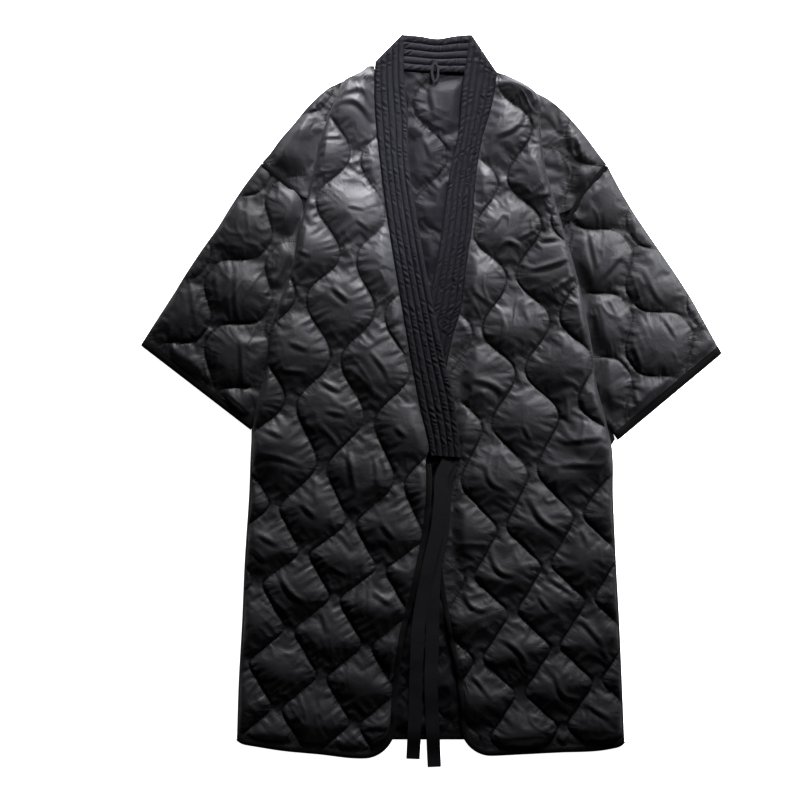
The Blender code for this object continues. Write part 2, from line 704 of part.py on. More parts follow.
def build_back(material):
    """The back panel, flat beneath, with quilting where its inside shows."""
    right_side, left_side = back_outline(-1), back_outline(1)
    outer = []
    for y in back_rows():
        low = float(np.interp(y, right_side[::-1, 1], right_side[::-1, 0]))
        high = float(np.interp(y, left_side[::-1, 1], left_side[::-1, 0]))
        near_right = max(min(float(edge_x(RIGHT_OPENING, y)) - 8.0, -30.0), low + 6.0)
        near_left = min(max(float(edge_x(LEFT_OPENING, y)) + 8.0, 30.0), high - 6.0)
        to_right = np.linspace(low, near_right, 4)[:-1]
        to_left = np.linspace(near_left, high, 4)[1:]
        xs = np.concatenate([to_right, np.linspace(near_right, near_left, 12), to_left])
        outer.append(np.stack([xs, np.full_like(xs, y), back_top(xs, y)], axis=-1))
    outer = np.array(outer)
    inner = outer.copy()
    inner[..., 2] = 0.0
    columns = [0, 3, 8, 14, outer.shape[1] - 1]
    every_row = list(range(len(outer)))
    return sheet_solid(outer, inner, None, every_row, columns).make("back_panel", material)


def band_clear(x, y):
    """1 where nothing of the neckband or the fronts lies over the back's inside."""
    right = np.interp(y, [s.inner_y for s in RIGHT_BAND[::-1]],
                      [s.inner_x for s in RIGHT_BAND[::-1]])
    left = np.interp(y, [s.inner_y for s in LEFT_BAND[::-1]],
                     [s.inner_x for s in LEFT_BAND[::-1]])
    if y < -200:
        right = float(edge_x(RIGHT_OPENING, y))
        left = float(edge_x(LEFT_OPENING, y))
    return smooth_step(0.0, 16.0, x - right) * smooth_step(0.0, 16.0, left - x)


def band_rows(stations, rows):
    """Edge points and heights of a band by row, from its stations."""
    outer = np.array([(s.outer_x, s.outer_y) for s in stations], float)
    inner = np.array([(s.inner_x, s.inner_y) for s in stations], float)
    middle = (outer + inner) / 2
    steps = np.linalg.norm(np.diff(middle, axis=0), axis=1)
    run = np.concatenate([[0.0], np.cumsum(steps)])
    at = np.linspace(0.0, run[-1], rows)
    read = [curve_value(run, values, at) for values in (
        outer[:, 0], outer[:, 1], inner[:, 0], inner[:, 1], [s.lift for s in stations])]
    return np.stack(read[0:2], axis=-1), np.stack(read[2:4], axis=-1), read[4]


def build_band(name, material, stations, rows, opening=None):
    """A stretch of neckband with stitched channels along it."""
    outer_edge, inner_edge, lift = band_rows(stations, rows)
    if opening:
        outer_edge[:, 0] = edge_x(opening, outer_edge[:, 1])
    per_channel = 2
    shares = np.linspace(0.0, 1.0, BAND_CHANNELS * per_channel + 1)
    ridge = BAND_RIDGE * np.sin(shares * BAND_CHANNELS * math.pi) ** 2
    ridge[0] = ridge[-1] = 0.0
    xy = outer_edge[:, None, :] + (inner_edge - outer_edge)[:, None, :] * shares[None, :, None]
    shown = np.ones((rows, 1))
    if not opening:
        shown = (smooth_step(-42, -30, inner_edge[:, 0]) * (1 - smooth_step(46, 58, inner_edge[:, 0])))
        shown = shown[:, None]
    top = np.repeat(lift[:, None] + WALL, len(shares), axis=1) + ridge[None, :] * shown
    under = np.repeat(lift[:, None], len(shares), axis=1)
    if opening:
        top[0] = lift[0] + 1.2
    outer = np.dstack([xy, top])
    inner = np.dstack([xy, under])
    columns = [0, 5, 10]
    return sheet_solid(outer, inner, None, None, columns).make(name, material)


def ribbon_solid(path, half_width, under, thick):
    """A flat strip along XY points, with heights of its underside."""
    ahead = np.gradient(path, axis=0)
    ahead /= np.linalg.norm(ahead, axis=1, keepdims=True)
    side = np.stack([-ahead[:, 1], ahead[:, 0]], axis=-1)
    shares = np.array([-1.0, 0.0, 1.0])
    xy = path[:, None, :] + side[:, None, :] * shares[None, :, None] * half_width
    low = np.repeat(np.asarray(under, float)[:, None], 3, axis=1)
    outer = np.dstack([xy, low + thick])
    inner = np.dstack([xy, low])
    return sheet_solid(outer, inner, None, list(range(len(path))), [0, 2])


def binding_solid(edge, outward, width, under, top, gap=CURVED_SEAM_GAP):
    """A rounded binding along an edge, just outside the cloth."""
    shares = np.array([0.0, 0.18, 0.55, 1.0])
    reach = gap + (width - gap) * shares
    rise = np.array([0.75, 1.0, 1.0, 0.45])
    xy = edge[:, None, :] + outward[:, None, :] * reach[None, :, None]
    high = under[:, None] + (top - under)[:, None] * rise[None, :]
    outer = np.dstack([xy, high])
    inner = np.dstack([xy, np.repeat(under[:, None], len(shares), axis=1)])
    return sheet_solid(outer, inner, None, list(range(len(edge))), [0, 3])


def outward_normals(edge, sign):
    """Unit normals of an XY chain, on its left for sign 1."""
    ahead = np.gradient(edge, axis=0)
    ahead /= np.linalg.norm(ahead, axis=1, keepdims=True)
    return np.stack([-ahead[:, 1], ahead[:, 0]], axis=-1) * sign


def build_edge_binding(name, material, front):
    """Binding down a front's opening and along its hem."""
    outer, inner = front.outer, front.inner
    first = int(np.argmin(np.abs(outer[:, 0, 1] + 96.0)))
    down = [(outer[i, 0], inner[i, 0]) for i in range(first, len(outer) - 1)]
    last_column = FRONT_COLUMNS - 1
    along = [(outer[-1, j], inner[-1, j]) for j in range(0, last_column)]
    chain = down + along
    edge = np.array([pair[0][:2] for pair in chain])
    top = np.array([pair[0][2] for pair in chain]) + 1.2
    under = np.array([pair[1][2] for pair in chain])
    under = np.minimum(under, top - 2.6)
    outward = outward_normals(edge, -front.sign)
    return binding_solid(edge, outward, EDGE_BINDING, under, top).make(name, material)


def build_hem_binding(material):
    """Binding of the back panel's hem, which shows between the fronts."""
    xs = np.linspace(-282.0, 281.0, 20)
    edge = np.stack([xs, np.full_like(xs, BACK_HEM)], axis=-1)
    outward = np.tile([0.0, -1.0], (len(xs), 1))
    under = np.zeros(len(xs))
    top = np.full(len(xs), 2.3)
    return binding_solid(edge, outward, EDGE_BINDING, under, top).make("hem_binding_back", material)


def build_cuff_binding(name, material, sides):
    """A flattened ring round the end of a sleeve."""
    near = trimmed(sides, CUFF_BINDING - SEAM_GAP)["cuff"]
    shares = np.linspace(0.0, 1.0, 7)
    high = SLEEVE_CEILING + WALL + 0.8
    level = np.full(7, high)
    level[[0, -1]] = 0.45 * high
    within = np.array([0.05, 0.2, 0.35, 0.5, 0.65, 0.8, 0.95])
    outer, inner = [], []
    for line in (near, sides["cuff"]):
        over = spot_curve(line, shares)
        beneath = spot_curve(line, shares[-2:0:-1])
        inside = spot_curve(line, within)
        outer.append([(*p, z) for p, z in zip(over, level)] + [(*p, 0.0) for p in beneath])
        inner.append([(*p, SLEEVE_CEILING) for p in inside]
                     + [(*p, BACK_TOP) for p in inside[-2:0:-1]])
    outer, inner = np.array(outer), np.array(inner)
    marks = np.zeros(outer.shape[:2], bool)
    return tube_solid(outer, inner, [0, 1], list(range(12)), marks).make(name, material)


def build_armhole_binding(name, material, sides, shares):
    """The bound seam between the drop shoulder and the sleeve."""
    path = spot_curve(sides["armhole"], np.linspace(shares[0], shares[1], 7))
    under = np.full(7, ARMHOLE_UNDER)
    under[0] = ARMHOLE_UNDER - 1.2
    return ribbon_solid(path, ARMHOLE_BINDING / 2, under, ARMHOLE_THICK).make(name, material)


def bed_height(front, x, y):
    """Height of what lies under a tie: the wearer's left front, its binding or the back."""
    edge = float(edge_x(front.opening, y))
    if y < HEM_LEVEL:
        return 0.0
    if x > edge + EDGE_BINDING:
        return float(front.top(x, y))
    if x > edge - 2.0:
        return float(front.top(edge + EDGE_BINDING, y)) + 1.4
    return float(back_top([x], y)[0])


def build_tie(name, material, spots, front, extra):
    """A flat ribbon that hangs from the end of the band over the other front."""
    path = spot_curve(spots, np.linspace(0.0, 1.0, TIE_ROWS))
    reach = TIE_WIDTH / 2 + 3.0
    bed = [max(bed_height(front, x + d, y) for d in (-reach, -reach / 2, 0.0, reach / 2, reach))
           for x, y in path]
    bed = np.array([max(bed[max(i - 1, 0) : i + 2]) for i in range(len(bed))])
    bed = np.convolve(np.pad(bed, 1, mode="edge"), np.ones(3) / 3, mode="valid")
    apart = extra * smooth_step(-470.0, -410.0, path[:, 1])
    return ribbon_solid(path, TIE_WIDTH / 2, bed + TIE_CLEAR + apart, TIE_THICK).make(name, material)


def build_loop(material):
    """A hanger loop of narrow tape, sewn on at the back of the neck."""
    piece = Solid()
    rings = []
    for k in range(LOOP_RINGS):
        angle = 2 * math.pi * k / LOOP_RINGS
        across, along = math.sin(angle), math.cos(angle)
        half_width, half_length = LOOP_WIDTH / 2, LOOP_LENGTH / 2
        straight = abs(along) ** 0.8 * (1 if along > 0 else -1)
        ring = []
        for inset, z in ((0.0, 0.0), (0.0, LOOP_THICK), (LOOP_STRAND, LOOP_THICK), (LOOP_STRAND, 0.0)):
            x = HANGER_LOOP.x + across * (half_width - inset)
            y = HANGER_LOOP.y + straight * (half_length - inset)
            ring.append((x, y, LOOP_UNDER + z))
        rings.append(ring)
    ids = piece.add(np.array(rings))
    ids = np.concatenate([ids, ids[:1]], axis=0)
    ids = np.concatenate([ids, ids[:, :1]], axis=1)
    piece.skin(ids)
    return piece.make("hanger_loop", material)


def cloth(name, colour, roughness):
    """A plain material for one piece."""
    material = bpy.data.materials.new(name)
    material.use_nodes = True
    shader = material.node_tree.nodes["Principled BSDF"]
    shader.inputs["Base Color"].default_value = (*colour, 1.0)
    shader.inputs["Roughness"].default_value = roughness
    shader.inputs["Metallic"].default_value = 0.0
    return material


def main():
    """Clear the scene and build every piece."""
    for old in list(bpy.data.objects):
        bpy.data.objects.remove(old, do_unlink=True)
    satin = {"colour": (0.022, 0.022, 0.025), "roughness": 0.38}
    band = {"colour": (0.017, 0.017, 0.019), "roughness": 0.45}
    matt = {"colour": (0.012, 0.012, 0.013), "roughness": 0.8}
    front_right = Front(RIGHT_OPENING, RIGHT_SIDE, RIGHT_HEM, RIGHT_QUILT, -1, RIGHT_UPPER)
    front_left = Front(LEFT_OPENING, LEFT_SIDE, LEFT_HEM, LEFT_QUILT, 1, LEFT_UPPER)
    build_back(cloth("back_satin", **satin))
    build_sleeve("sleeve_right", cloth("sleeve_right_satin", **satin), RIGHT_SLEEVE,
                 RIGHT_ARM_QUILT, RIGHT_SIDE, -1)
    build_sleeve("sleeve_left", cloth("sleeve_left_satin", **satin), LEFT_SLEEVE,
                 LEFT_ARM_QUILT, LEFT_SIDE, 1)
    build_shoulder("shoulder_right", cloth("shoulder_right_satin", **satin), RIGHT_SHOULDER,
                   RIGHT_ARM_QUILT, RIGHT_SIDE, -1)
    build_shoulder("shoulder_left", cloth("shoulder_left_satin", **satin), LEFT_SHOULDER,
                   LEFT_ARM_QUILT, LEFT_SIDE, 1)
    front_right.build("front_right", cloth("front_right_satin", **satin))
    front_left.build("front_left", cloth("front_left_satin", **satin))
    build_band("neckband_back", cloth("neckband_back_satin", **band), BACK_BAND,
               BACK_BAND_ROWS)
    build_band("neckband_left", cloth("neckband_left_satin", **band), LEFT_BAND,
               BAND_ROWS, LEFT_OPENING)
    build_band("neckband_right", cloth("neckband_right_satin", **band), RIGHT_BAND,
               BAND_ROWS, RIGHT_OPENING)
    build_edge_binding("edge_binding_right", cloth("edge_binding_right_twill", **matt), front_right)
    build_edge_binding("edge_binding_left", cloth("edge_binding_left_twill", **matt), front_left)
    build_hem_binding(cloth("hem_binding_twill", **matt))
    build_cuff_binding("cuff_binding_right", cloth("cuff_binding_right_twill", **matt), RIGHT_SLEEVE)
    build_cuff_binding("cuff_binding_left", cloth("cuff_binding_left_twill", **matt), LEFT_SLEEVE)
    build_armhole_binding("armhole_binding_right", cloth("armhole_right_twill", **matt),
                          RIGHT_SLEEVE, (0.01, 0.22))
    build_armhole_binding("armhole_binding_left", cloth("armhole_left_twill", **matt),
                          LEFT_SLEEVE, (0.01, 0.26))
    build_tie("tie_left", cloth("tie_left_grosgrain", **matt), LEFT_TIE, front_left, 0.0)
    build_tie("tie_right", cloth("tie_right_grosgrain", **matt), RIGHT_TIE, front_left,
              TIE_OVER_TIE)
    build_loop(cloth("hanger_loop_tape", **matt))


main()
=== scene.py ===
"""The looks of a quilted kimono coat, laid flat on its back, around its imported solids.

Every table is in millimetres: X towards the wearer's left, Y towards the head, Z up
from the surface that the coat lies on.  Right and left are the wearer's.  The cloth
is made on fine grids from the same tables as the solids, its stitch lines are pinned,
and a cloth simulation lets the spare cloth between them pucker.
"""

import logging
import math
from collections.abc import Callable, Sequence
from dataclasses import dataclass, field
from enum import Enum
from typing import NamedTuple

import bmesh
import bpy
import numpy as np
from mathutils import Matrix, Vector


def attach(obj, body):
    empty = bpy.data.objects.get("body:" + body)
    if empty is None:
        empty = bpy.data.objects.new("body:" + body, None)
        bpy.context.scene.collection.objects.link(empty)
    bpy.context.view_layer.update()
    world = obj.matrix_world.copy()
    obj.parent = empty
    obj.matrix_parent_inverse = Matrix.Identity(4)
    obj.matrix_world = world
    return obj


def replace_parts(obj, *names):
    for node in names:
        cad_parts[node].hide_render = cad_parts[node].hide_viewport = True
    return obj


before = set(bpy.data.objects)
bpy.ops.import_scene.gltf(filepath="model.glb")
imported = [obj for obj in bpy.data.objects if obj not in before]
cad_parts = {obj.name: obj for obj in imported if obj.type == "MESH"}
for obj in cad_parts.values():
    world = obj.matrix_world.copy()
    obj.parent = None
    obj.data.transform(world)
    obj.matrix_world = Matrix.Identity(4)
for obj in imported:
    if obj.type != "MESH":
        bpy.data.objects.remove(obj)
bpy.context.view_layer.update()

LOG = logging.getLogger("coat")
MM = 0.001

# Cloth and its quilting
WALL = 2.0
PUFF = 11.0
BACK_PUFF = 5.0
BODY_WAVE = 21.5
SLEEVE_WAVE = 23.5
BACK_WAVE = 26.0
SHARP = 0.09
ROUNDED = -0.02
BOXY = -0.1
SLEEVE_PERIOD = 154.0
MOST_LINES = 6
PATH_SAMPLES = 160
CREASE_SAMPLES = 25
PUCKER = 2.6
CREASE = 1.6
SOFT_FOLD = 1.5
RUN_REACH = 700.0
RUN_APART = 977.0

# Sewing in the materials
GATHER_PITCH = 5.6
GATHER_LENGTH = 24.0
GATHER_REACH = 19.0
GATHER_DEPTH = 1.5
STITCH = 1.7
STITCH_DEPTH = 0.4
# Near-black mixed into the cloth's colour beside each stitch line: painted shade in the stitched
# grooves
PAINTED_SEAM_SHADE = "#050506"

# Heights of the undersides of the layers above the surface, as in the solids
CURVED_SEAM_GAP = 0.9
SEAM_SHOWN = -0.4
BACK_TOP = 2.0
ON_BACK = 2.8
SLEEVE_CEILING = 3.2
LIP_UNDER = 5.8
FOLD_RADIUS = 2.8
BAND_OVERLAP = 8.3
ARMHOLE_UNDER = 6.3
EDGE_OVERLAP = 9.0

# Narrow trims
EDGE_BINDING = 8.0
CUFF_BINDING = 12.0
ARMHOLE_BINDING = 8.0
TIE_WIDTH = 20.0
TIE_THICK = 1.0
BAND_CHANNELS = 5
BAND_RIDGE = 1.9
BAND_WIDTH = 51.0
TWIST_PITCH = 8.0
BINDING_OVERLAP = 0.3
TIE_CLEAR = 0.6
LOOP_TOP = 9.0
LOOP_UNDER = 7.6

# Where the panels begin and end along Y
RIGHT_UPPER = 500.0
LEFT_UPPER = 488.0
HEM_LEVEL = -505.0
BACK_HEM = -501.0

# The studio: the floor and camera in metres, the lens in millimetres
FLOOR_SIZE = 30.0
FLOOR_DROP = 0.0006
WORLD_GLOW = 0.035
CAMERA_SPOT = (-0.0465, 0.0, 3.2)
SENSOR = 36.0
LENS = 96.0
GAMMA = 0.72

Array = np.ndarray


class Edge(NamedTuple):
    """A point of an edge that runs down the coat."""

    y: float
    x: float


class Spot(NamedTuple):
    """A point seen from above."""

    x: float
    y: float


class Station(NamedTuple):
    """A place along the neckband: its outer and inner edge and its height."""

    outer_x: float
    outer_y: float
    inner_x: float
    inner_y: float
    lift: float


class Bulb(NamedTuple):
    """The middle of one bulb of quilting, by turn of the wave."""

    turn: float
    x: float
    y: float


class Stray(NamedTuple):
    """A stretch where one stitch line leaves its wave: how far, and over what length."""

    number: int
    y: float
    shift: float
    length: float


class Crease(NamedTuple):
    """A main fold of the cloth: the height and width of its ridge, and where it runs."""

    height: float
    width: float
    spots: list[tuple[float, float]]


# Front edges: the seam of the neckband, then the bound opening down to the hem
RIGHT_OPENING = [
    Edge(505, -84), Edge(450, -84), Edge(358, -76), Edge(246, -61), Edge(150, -45),
    Edge(57, -29), Edge(-12, -16), Edge(-74, -2), Edge(-150, 0), Edge(-195, -5),
    Edge(-240, -13), Edge(-298, -25), Edge(-358, -39), Edge(-408, -46), Edge(-520, -54),
]
LEFT_OPENING = [
    Edge(492, 98), Edge(450, 92), Edge(388, 75), Edge(330, 66), Edge(253, 60),
    Edge(195, 51), Edge(133, 43), Edge(100, 33), Edge(49, 22), Edge(-15, 13),
    Edge(-75, 8), Edge(-150, 6), Edge(-256, 9), Edge(-345, 22), Edge(-418, 35),
    Edge(-471, 42), Edge(-520, 44),
]

# Outer edges of the fronts: the shoulder, the fold over the sleeve, the side seam
RIGHT_SIDE = [
    Edge(505, -90), Edge(492, -105), Edge(480, -128), Edge(460, -139), Edge(426, -153),
    Edge(391, -165), Edge(364, -171), Edge(327, -180), Edge(294, -187), Edge(253, -198),
    Edge(223, -203), Edge(183, -214), Edge(114, -238), Edge(33, -250), Edge(-8, -262),
    Edge(-44, -267), Edge(-150, -273), Edge(-240, -279), Edge(-330, -283),
    Edge(-420, -288), Edge(-520, -291),
]
LEFT_SIDE = [
    Edge(492, 101), Edge(480, 127), Edge(462, 155), Edge(418, 163), Edge(379, 166),
    Edge(331, 175), Edge(303, 184), Edge(246, 201), Edge(205, 213), Edge(159, 225),
    Edge(75, 241), Edge(30, 246), Edge(-33, 262), Edge(-69, 270), Edge(-150, 273),
    Edge(-240, 277), Edge(-330, 282), Edge(-420, 286), Edge(-520, 290),
]

# Hems of the fronts without their round corners
RIGHT_HEM = [
    Spot(-291, -514), Spot(-256, -520), Spot(-226, -525), Spot(-166, -531),
    Spot(-106, -537), Spot(-54, -533),
]
LEFT_HEM = [
    Spot(44, -531), Spot(88, -533), Spot(133, -531), Spot(193, -528), Spot(253, -525),
    Spot(290, -518),
]
OPENING_CORNER = 38.0
SIDE_CORNER = 14.0

# Back panel: the shoulders down to the armholes, and the side seams
BACK_RIGHT_SHOULDER = [
    Edge(496, -88), Edge(486, -114), Edge(468, -154), Edge(444, -180), Edge(412, -206),
    Edge(390, -225), Edge(367, -242), Edge(355, -252),
]
BACK_LEFT_SHOULDER = [
    Edge(496, 88), Edge(486, 113), Edge(468, 146), Edge(444, 185), Edge(412, 216),
    Edge(390, 234), Edge(367, 250), Edge(352, 262),
]
BACK_RIGHT_SEAM = [Edge(-47, -269), Edge(-150, -272), Edge(-330, -282), Edge(-501, -290)]
BACK_LEFT_SEAM = [Edge(-62, 270), Edge(-150, 272), Edge(-330, 281), Edge(-501, 289)]

# Sleeves and drop shoulders, each as four edges that meet at their ends
RIGHT_SLEEVE = {
    "top": [
        Spot(-254, 355), Spot(-262, 345), Spot(-294, 300), Spot(-322, 255),
        Spot(-354, 210), Spot(-382, 165), Spot(-411, 120), Spot(-435, 82),
    ],
    "under": [Spot(-219, 105), Spot(-236, 55), Spot(-253, 5), Spot(-270, -45)],
    "armhole": [
        Spot(-254, 355), Spot(-213, 321), Spot(-199, 307), Spot(-193, 240),
        Spot(-199, 165), Spot(-219, 105),
    ],
    "cuff": [Spot(-435, 82), Spot(-270, -45)],
}
LEFT_SLEEVE = {
    "top": [
        Spot(264, 352), Spot(292, 300), Spot(321, 255), Spot(352, 210), Spot(382, 165),
        Spot(408, 120), Spot(420, 97), Spot(436, 70),
    ],
    "under": [Spot(216, 90), Spot(234, 40), Spot(256, -25), Spot(280, -60)],
    "armhole": [
        Spot(264, 352), Spot(216, 289), Spot(194, 240), Spot(197, 165), Spot(216, 90),
    ],
    "cuff": [Spot(436, 70), Spot(280, -60)],
}
RIGHT_SHOULDER = {
    "top": [
        Spot(-140, 473), Spot(-156, 465), Spot(-180, 444), Spot(-207, 412),
        Spot(-226, 390), Spot(-243, 367), Spot(-253, 356),
    ],
    "under": [Spot(-124, 464), Spot(-136, 420), Spot(-150, 360), Spot(-168, 300)],
    "armhole": [Spot(-140, 473), Spot(-124, 464)],
    "cuff": [Spot(-253, 356), Spot(-212, 322), Spot(-194, 305), Spot(-168, 300)],
}
LEFT_SHOULDER = {
    "top": [
        Spot(158, 460), Spot(172, 453), Spot(193, 437), Spot(217, 412), Spot(235, 390),
        Spot(252, 367), Spot(263, 353),
    ],
    "under": [
        Spot(143, 458), Spot(144, 420), Spot(147, 370), Spot(162, 300), Spot(172, 272),
    ],
    "armhole": [Spot(158, 460), Spot(143, 458)],
    "cuff": [Spot(263, 353), Spot(240, 322), Spot(215, 290), Spot(172, 272)],
}

# Neckband, from the fold at the back of the neck down to its end
RIGHT_BAND = [
    Station(-84, 506, -41, 549, 7.6), Station(-84, 462, -40, 478, 7.4),
    Station(-82, 420, -35, 426, 6.8), Station(-76, 358, -34, 366, 6.8),
    Station(-61, 246, -17, 248, 7.4), Station(-45, 150, 0, 156, 8.2),
    Station(-29, 57, 20, 62, 8.4), Station(-16, -12, 36, -8, 8.4),
    Station(-2, -82, 44, -86, 8.4),
]
LEFT_BAND = [
    Station(98, 491, 59, 549, 7.6), Station(94, 450, 47, 470, 7.4),
    Station(70, 388, 41, 400, 5.2), Station(65, 330, 27, 334, 3.4),
    Station(60, 253, 16, 250, 3.0), Station(51, 195, 5, 190, 3.0),
    Station(43, 133, -8, 128, 3.0), Station(22, 49, -22, 44, 3.0),
    Station(13, -15, -32, -20, 3.0), Station(8, -75, -38, -78, 3.0),
]
BACK_BAND = [
    Station(-79, 499, -40, 547, 2.8), Station(-40, 494, -18, 545, 2.8),
    Station(8, 491, 9, 541, 2.8), Station(56, 490, 36, 545, 2.8),
    Station(93, 489, 58, 547, 2.8),
]

# Ties, by the middle of each ribbon
RIGHT_TIE = [
    Spot(26, -92), Spot(17, -110), Spot(14, -150), Spot(9, -195), Spot(-4, -250),
    Spot(-12, -290), Spot(-19, -340), Spot(-22, -400), Spot(-24, -470), Spot(-27, -538),
]
LEFT_TIE = [
    Spot(31, -96), Spot(24, -114), Spot(20, -152), Spot(17, -195), Spot(6, -250),
    Spot(3, -300), Spot(2, -360), Spot(0, -420), Spot(2, -480), Spot(5, -550),
]
HANGER_LOOP = Spot(6, 490)

# Quilting: the middles of one column of bulbs
RIGHT_BULBS = [
    Bulb(-2, -92, 588), Bulb(-1, -106, 438), Bulb(0, -121, 288), Bulb(1, -136, 141),
    Bulb(2, -151, -18), Bulb(3, -177, -171), Bulb(4, -202, -285), Bulb(5, -222, -403),
    Bulb(6, -240, -520), Bulb(7, -258, -637),
]
LEFT_BULBS = [
    Bulb(-2, 87, 544), Bulb(-1, 100, 400), Bulb(0, 114, 256), Bulb(1, 127, 112),
    Bulb(2, 141, -30), Bulb(3, 163, -183), Bulb(4, 180, -309), Bulb(5, 191, -430),
    Bulb(6, 202, -547), Bulb(7, 213, -660),
]
BACK_BULBS = [
    Bulb(-2, -31, 685), Bulb(-1, -31, 525), Bulb(0, -31, 365), Bulb(1, -31, 212),
    Bulb(2, -31, 60), Bulb(3, -31, -90), Bulb(4, -31, -240), Bulb(5, -31, -365),
    Bulb(6, -31, -485), Bulb(7, -31, -605),
]
LEFT_STRAYS = [Stray(1, -62, 44, 52)]
RIGHT_STRAYS = [Stray(-2, -70, -16, 45), Stray(0, 214, 9, 50)]

# The folds that catch the light inside the puffs
MAIN_CREASES = [
    Crease(1.6, 5, [(-148, 441), (-118, 448), (-84, 412), (-78, 387)]),
    Crease(1.4, 5, [(-141, 454), (-104, 465), (-82, 428)]),
    Crease(0.9, 3, [(-164, 392), (-129, 394)]),
    Crease(0.8, 3, [(-171, 338), (-136, 345)]),
    Crease(1.0, 3, [(-129, 368), (-114, 354)]),
    Crease(1.0, 3, [(-126, 291), (-99, 285)]),
    Crease(1.0, 3, [(-112, 270), (-92, 255)]),
    Crease(0.9, 3, [(-201, 225), (-178, 214)]),
    Crease(1.8, 4, [(-148, 170), (-122, 147)]),
    Crease(1.2, 4, [(-213, 87), (-182, 75)]),
    Crease(1.4, 4, [(-226, 45), (-186, 42)]),
    Crease(1.0, 3, [(-212, 177), (-182, 170)]),
    Crease(1.4, 4, [(-92, 75), (-69, 45), (-62, 27)]),
    Crease(1.5, 4, [(-166, 30), (-134, 12)]),
    Crease(1.3, 4, [(-159, -15), (-126, -22)]),
    Crease(1.3, 4, [(-54, -38), (-36, -56)]),
    Crease(1.3, 4, [(-256, -38), (-219, -56)]),
    Crease(1.8, 4, [(-123, -70), (-118, -105), (-112, -140)]),
    Crease(1.1, 3, [(-84, -82), (-81, -128)]),
    Crease(1.1, 4, [(-264, -78), (-219, -87), (-189, -100)]),
    Crease(1.5, 4, [(-195, -153), (-171, -176)]),
    Crease(2.0, 4, [(-226, -262), (-208, -288), (-186, -303)]),
    Crease(1.4, 4, [(-74, -183), (-54, -207)]),
    Crease(1.3, 4, [(-261, -198), (-226, -218)]),
    Crease(1.2, 4, [(-266, -220), (-246, -243)]),
    Crease(1.3, 4, [(-88, -285), (-54, -308)]),
    Crease(1.0, 3, [(-152, -248), (-126, -262)]),
    Crease(1.2, 4, [(-164, -315), (-154, -348)]),
    Crease(1.4, 4, [(96, 394), (122, 405), (144, 432)]),
    Crease(1.4, 3, [(129, 386), (164, 388)]),
    Crease(1.0, 3, [(159, 304), (182, 309)]),
    Crease(1.2, 3, [(92, 255), (106, 278)]),
    Crease(1.3, 3, [(129, 240), (156, 255)]),
    Crease(1.6, 4, [(99, 225), (114, 237), (134, 230)]),
    Crease(1.6, 4, [(159, 240), (196, 244)]),
    Crease(1.7, 4, [(144, 195), (178, 202), (208, 214)]),
    Crease(1.6, 4, [(182, 162), (216, 188)]),
    Crease(1.2, 4, [(144, 440), (164, 450), (182, 417)]),
    Crease(1.3, 5, [(63, 32), (98, 20), (116, -9)]),
    Crease(1.2, 4, [(81, -96), (92, -124), (116, -136)]),
    Crease(1.7, 5, [(144, -142), (166, -177), (201, -200)]),
    Crease(1.1, 3, [(138, -38), (150, -62)]),
    Crease(1.2, 4, [(195, -62), (260, -56)]),
    Crease(1.2, 4, [(190, -96), (260, -96)]),
    Crease(1.2, 4, [(207, -15), (260, -32)]),
    Crease(1.5, 4, [(86, -222), (104, -256), (126, -262)]),
    Crease(1.3, 4, [(132, -206), (156, -234)]),
    Crease(1.4, 4, [(45, -280), (63, -309), (86, -315)]),
    Crease(1.4, 4, [(172, -262), (219, -292)]),
    Crease(1.2, 3, [(160, -292), (178, -315)]),
    Crease(1.2, 4, [(225, -188), (236, -222)]),
    Crease(1.5, 4, [(110, -356), (138, -384), (144, -406)]),
    Crease(1.5, 4, [(184, -406), (201, -442), (225, -447)]),
    Crease(1.2, 4, [(225, -327), (260, -368)]),
    Crease(1.2, 4, [(231, -453), (270, -477)]),
    Crease(1.3, 4, [(63, -412), (92, -447)]),
    Crease(2.4, 6, [(210, 410), (206, 357), (210, 292)]),
    Crease(1.5, 4, [(219, 402), (226, 352)]),
    Crease(1.3, 4, [(237, 266), (242, 230), (250, 190)]),
    Crease(1.2, 4, [(291, 225), (250, 178)]),
    Crease(1.3, 4, [(316, 198), (339, 154), (357, 136)]),
    Crease(1.0, 3, [(300, 225), (321, 220)]),
    Crease(1.4, 3, [(348, 123), (366, 93)]),
    Crease(1.2, 4, [(300, 88), (316, 48)]),
    Crease(1.2, 4, [(246, 128), (250, 90)]),
    Crease(1.3, 4, [(300, 32), (310, -9)]),
    Crease(1.2, 4, [(264, 22), (274, -22)]),
    Crease(1.0, 4, [(387, 102), (396, 57)]),
    Crease(1.2, 4, [(-291, 200), (-286, 117), (-280, 102)]),
    Crease(1.2, 4, [(-284, 98), (-279, -3)]),
    Crease(1.0, 4, [(-328, 225), (-316, 142)]),
    Crease(1.0, 4, [(-362, 188), (-350, 105)]),
    Crease(1.0, 4, [(-392, 117), (-380, 42)]),
    Crease(1.1, 4, [(-339, 72), (-328, -3)]),
    Crease(1.0, 4, [(-2, 470), (6, 424)]),
    Crease(1.0, 4, [(-9, 390), (2, 360)]),
]


def smooth_step(low: float, high: float, at: Array | float) -> Array:
    """Rise from 0 to 1 with no corner.

    Args:
        low: Where the rise starts.
        high: Where it ends.
        at: Places to read.

    Returns:
        The share of the rise at each place.
    """
    t = np.clip((np.asarray(at, float) - low) / (high - low), 0.0, 1.0)
    return t * t * (3.0 - 2.0 * t)


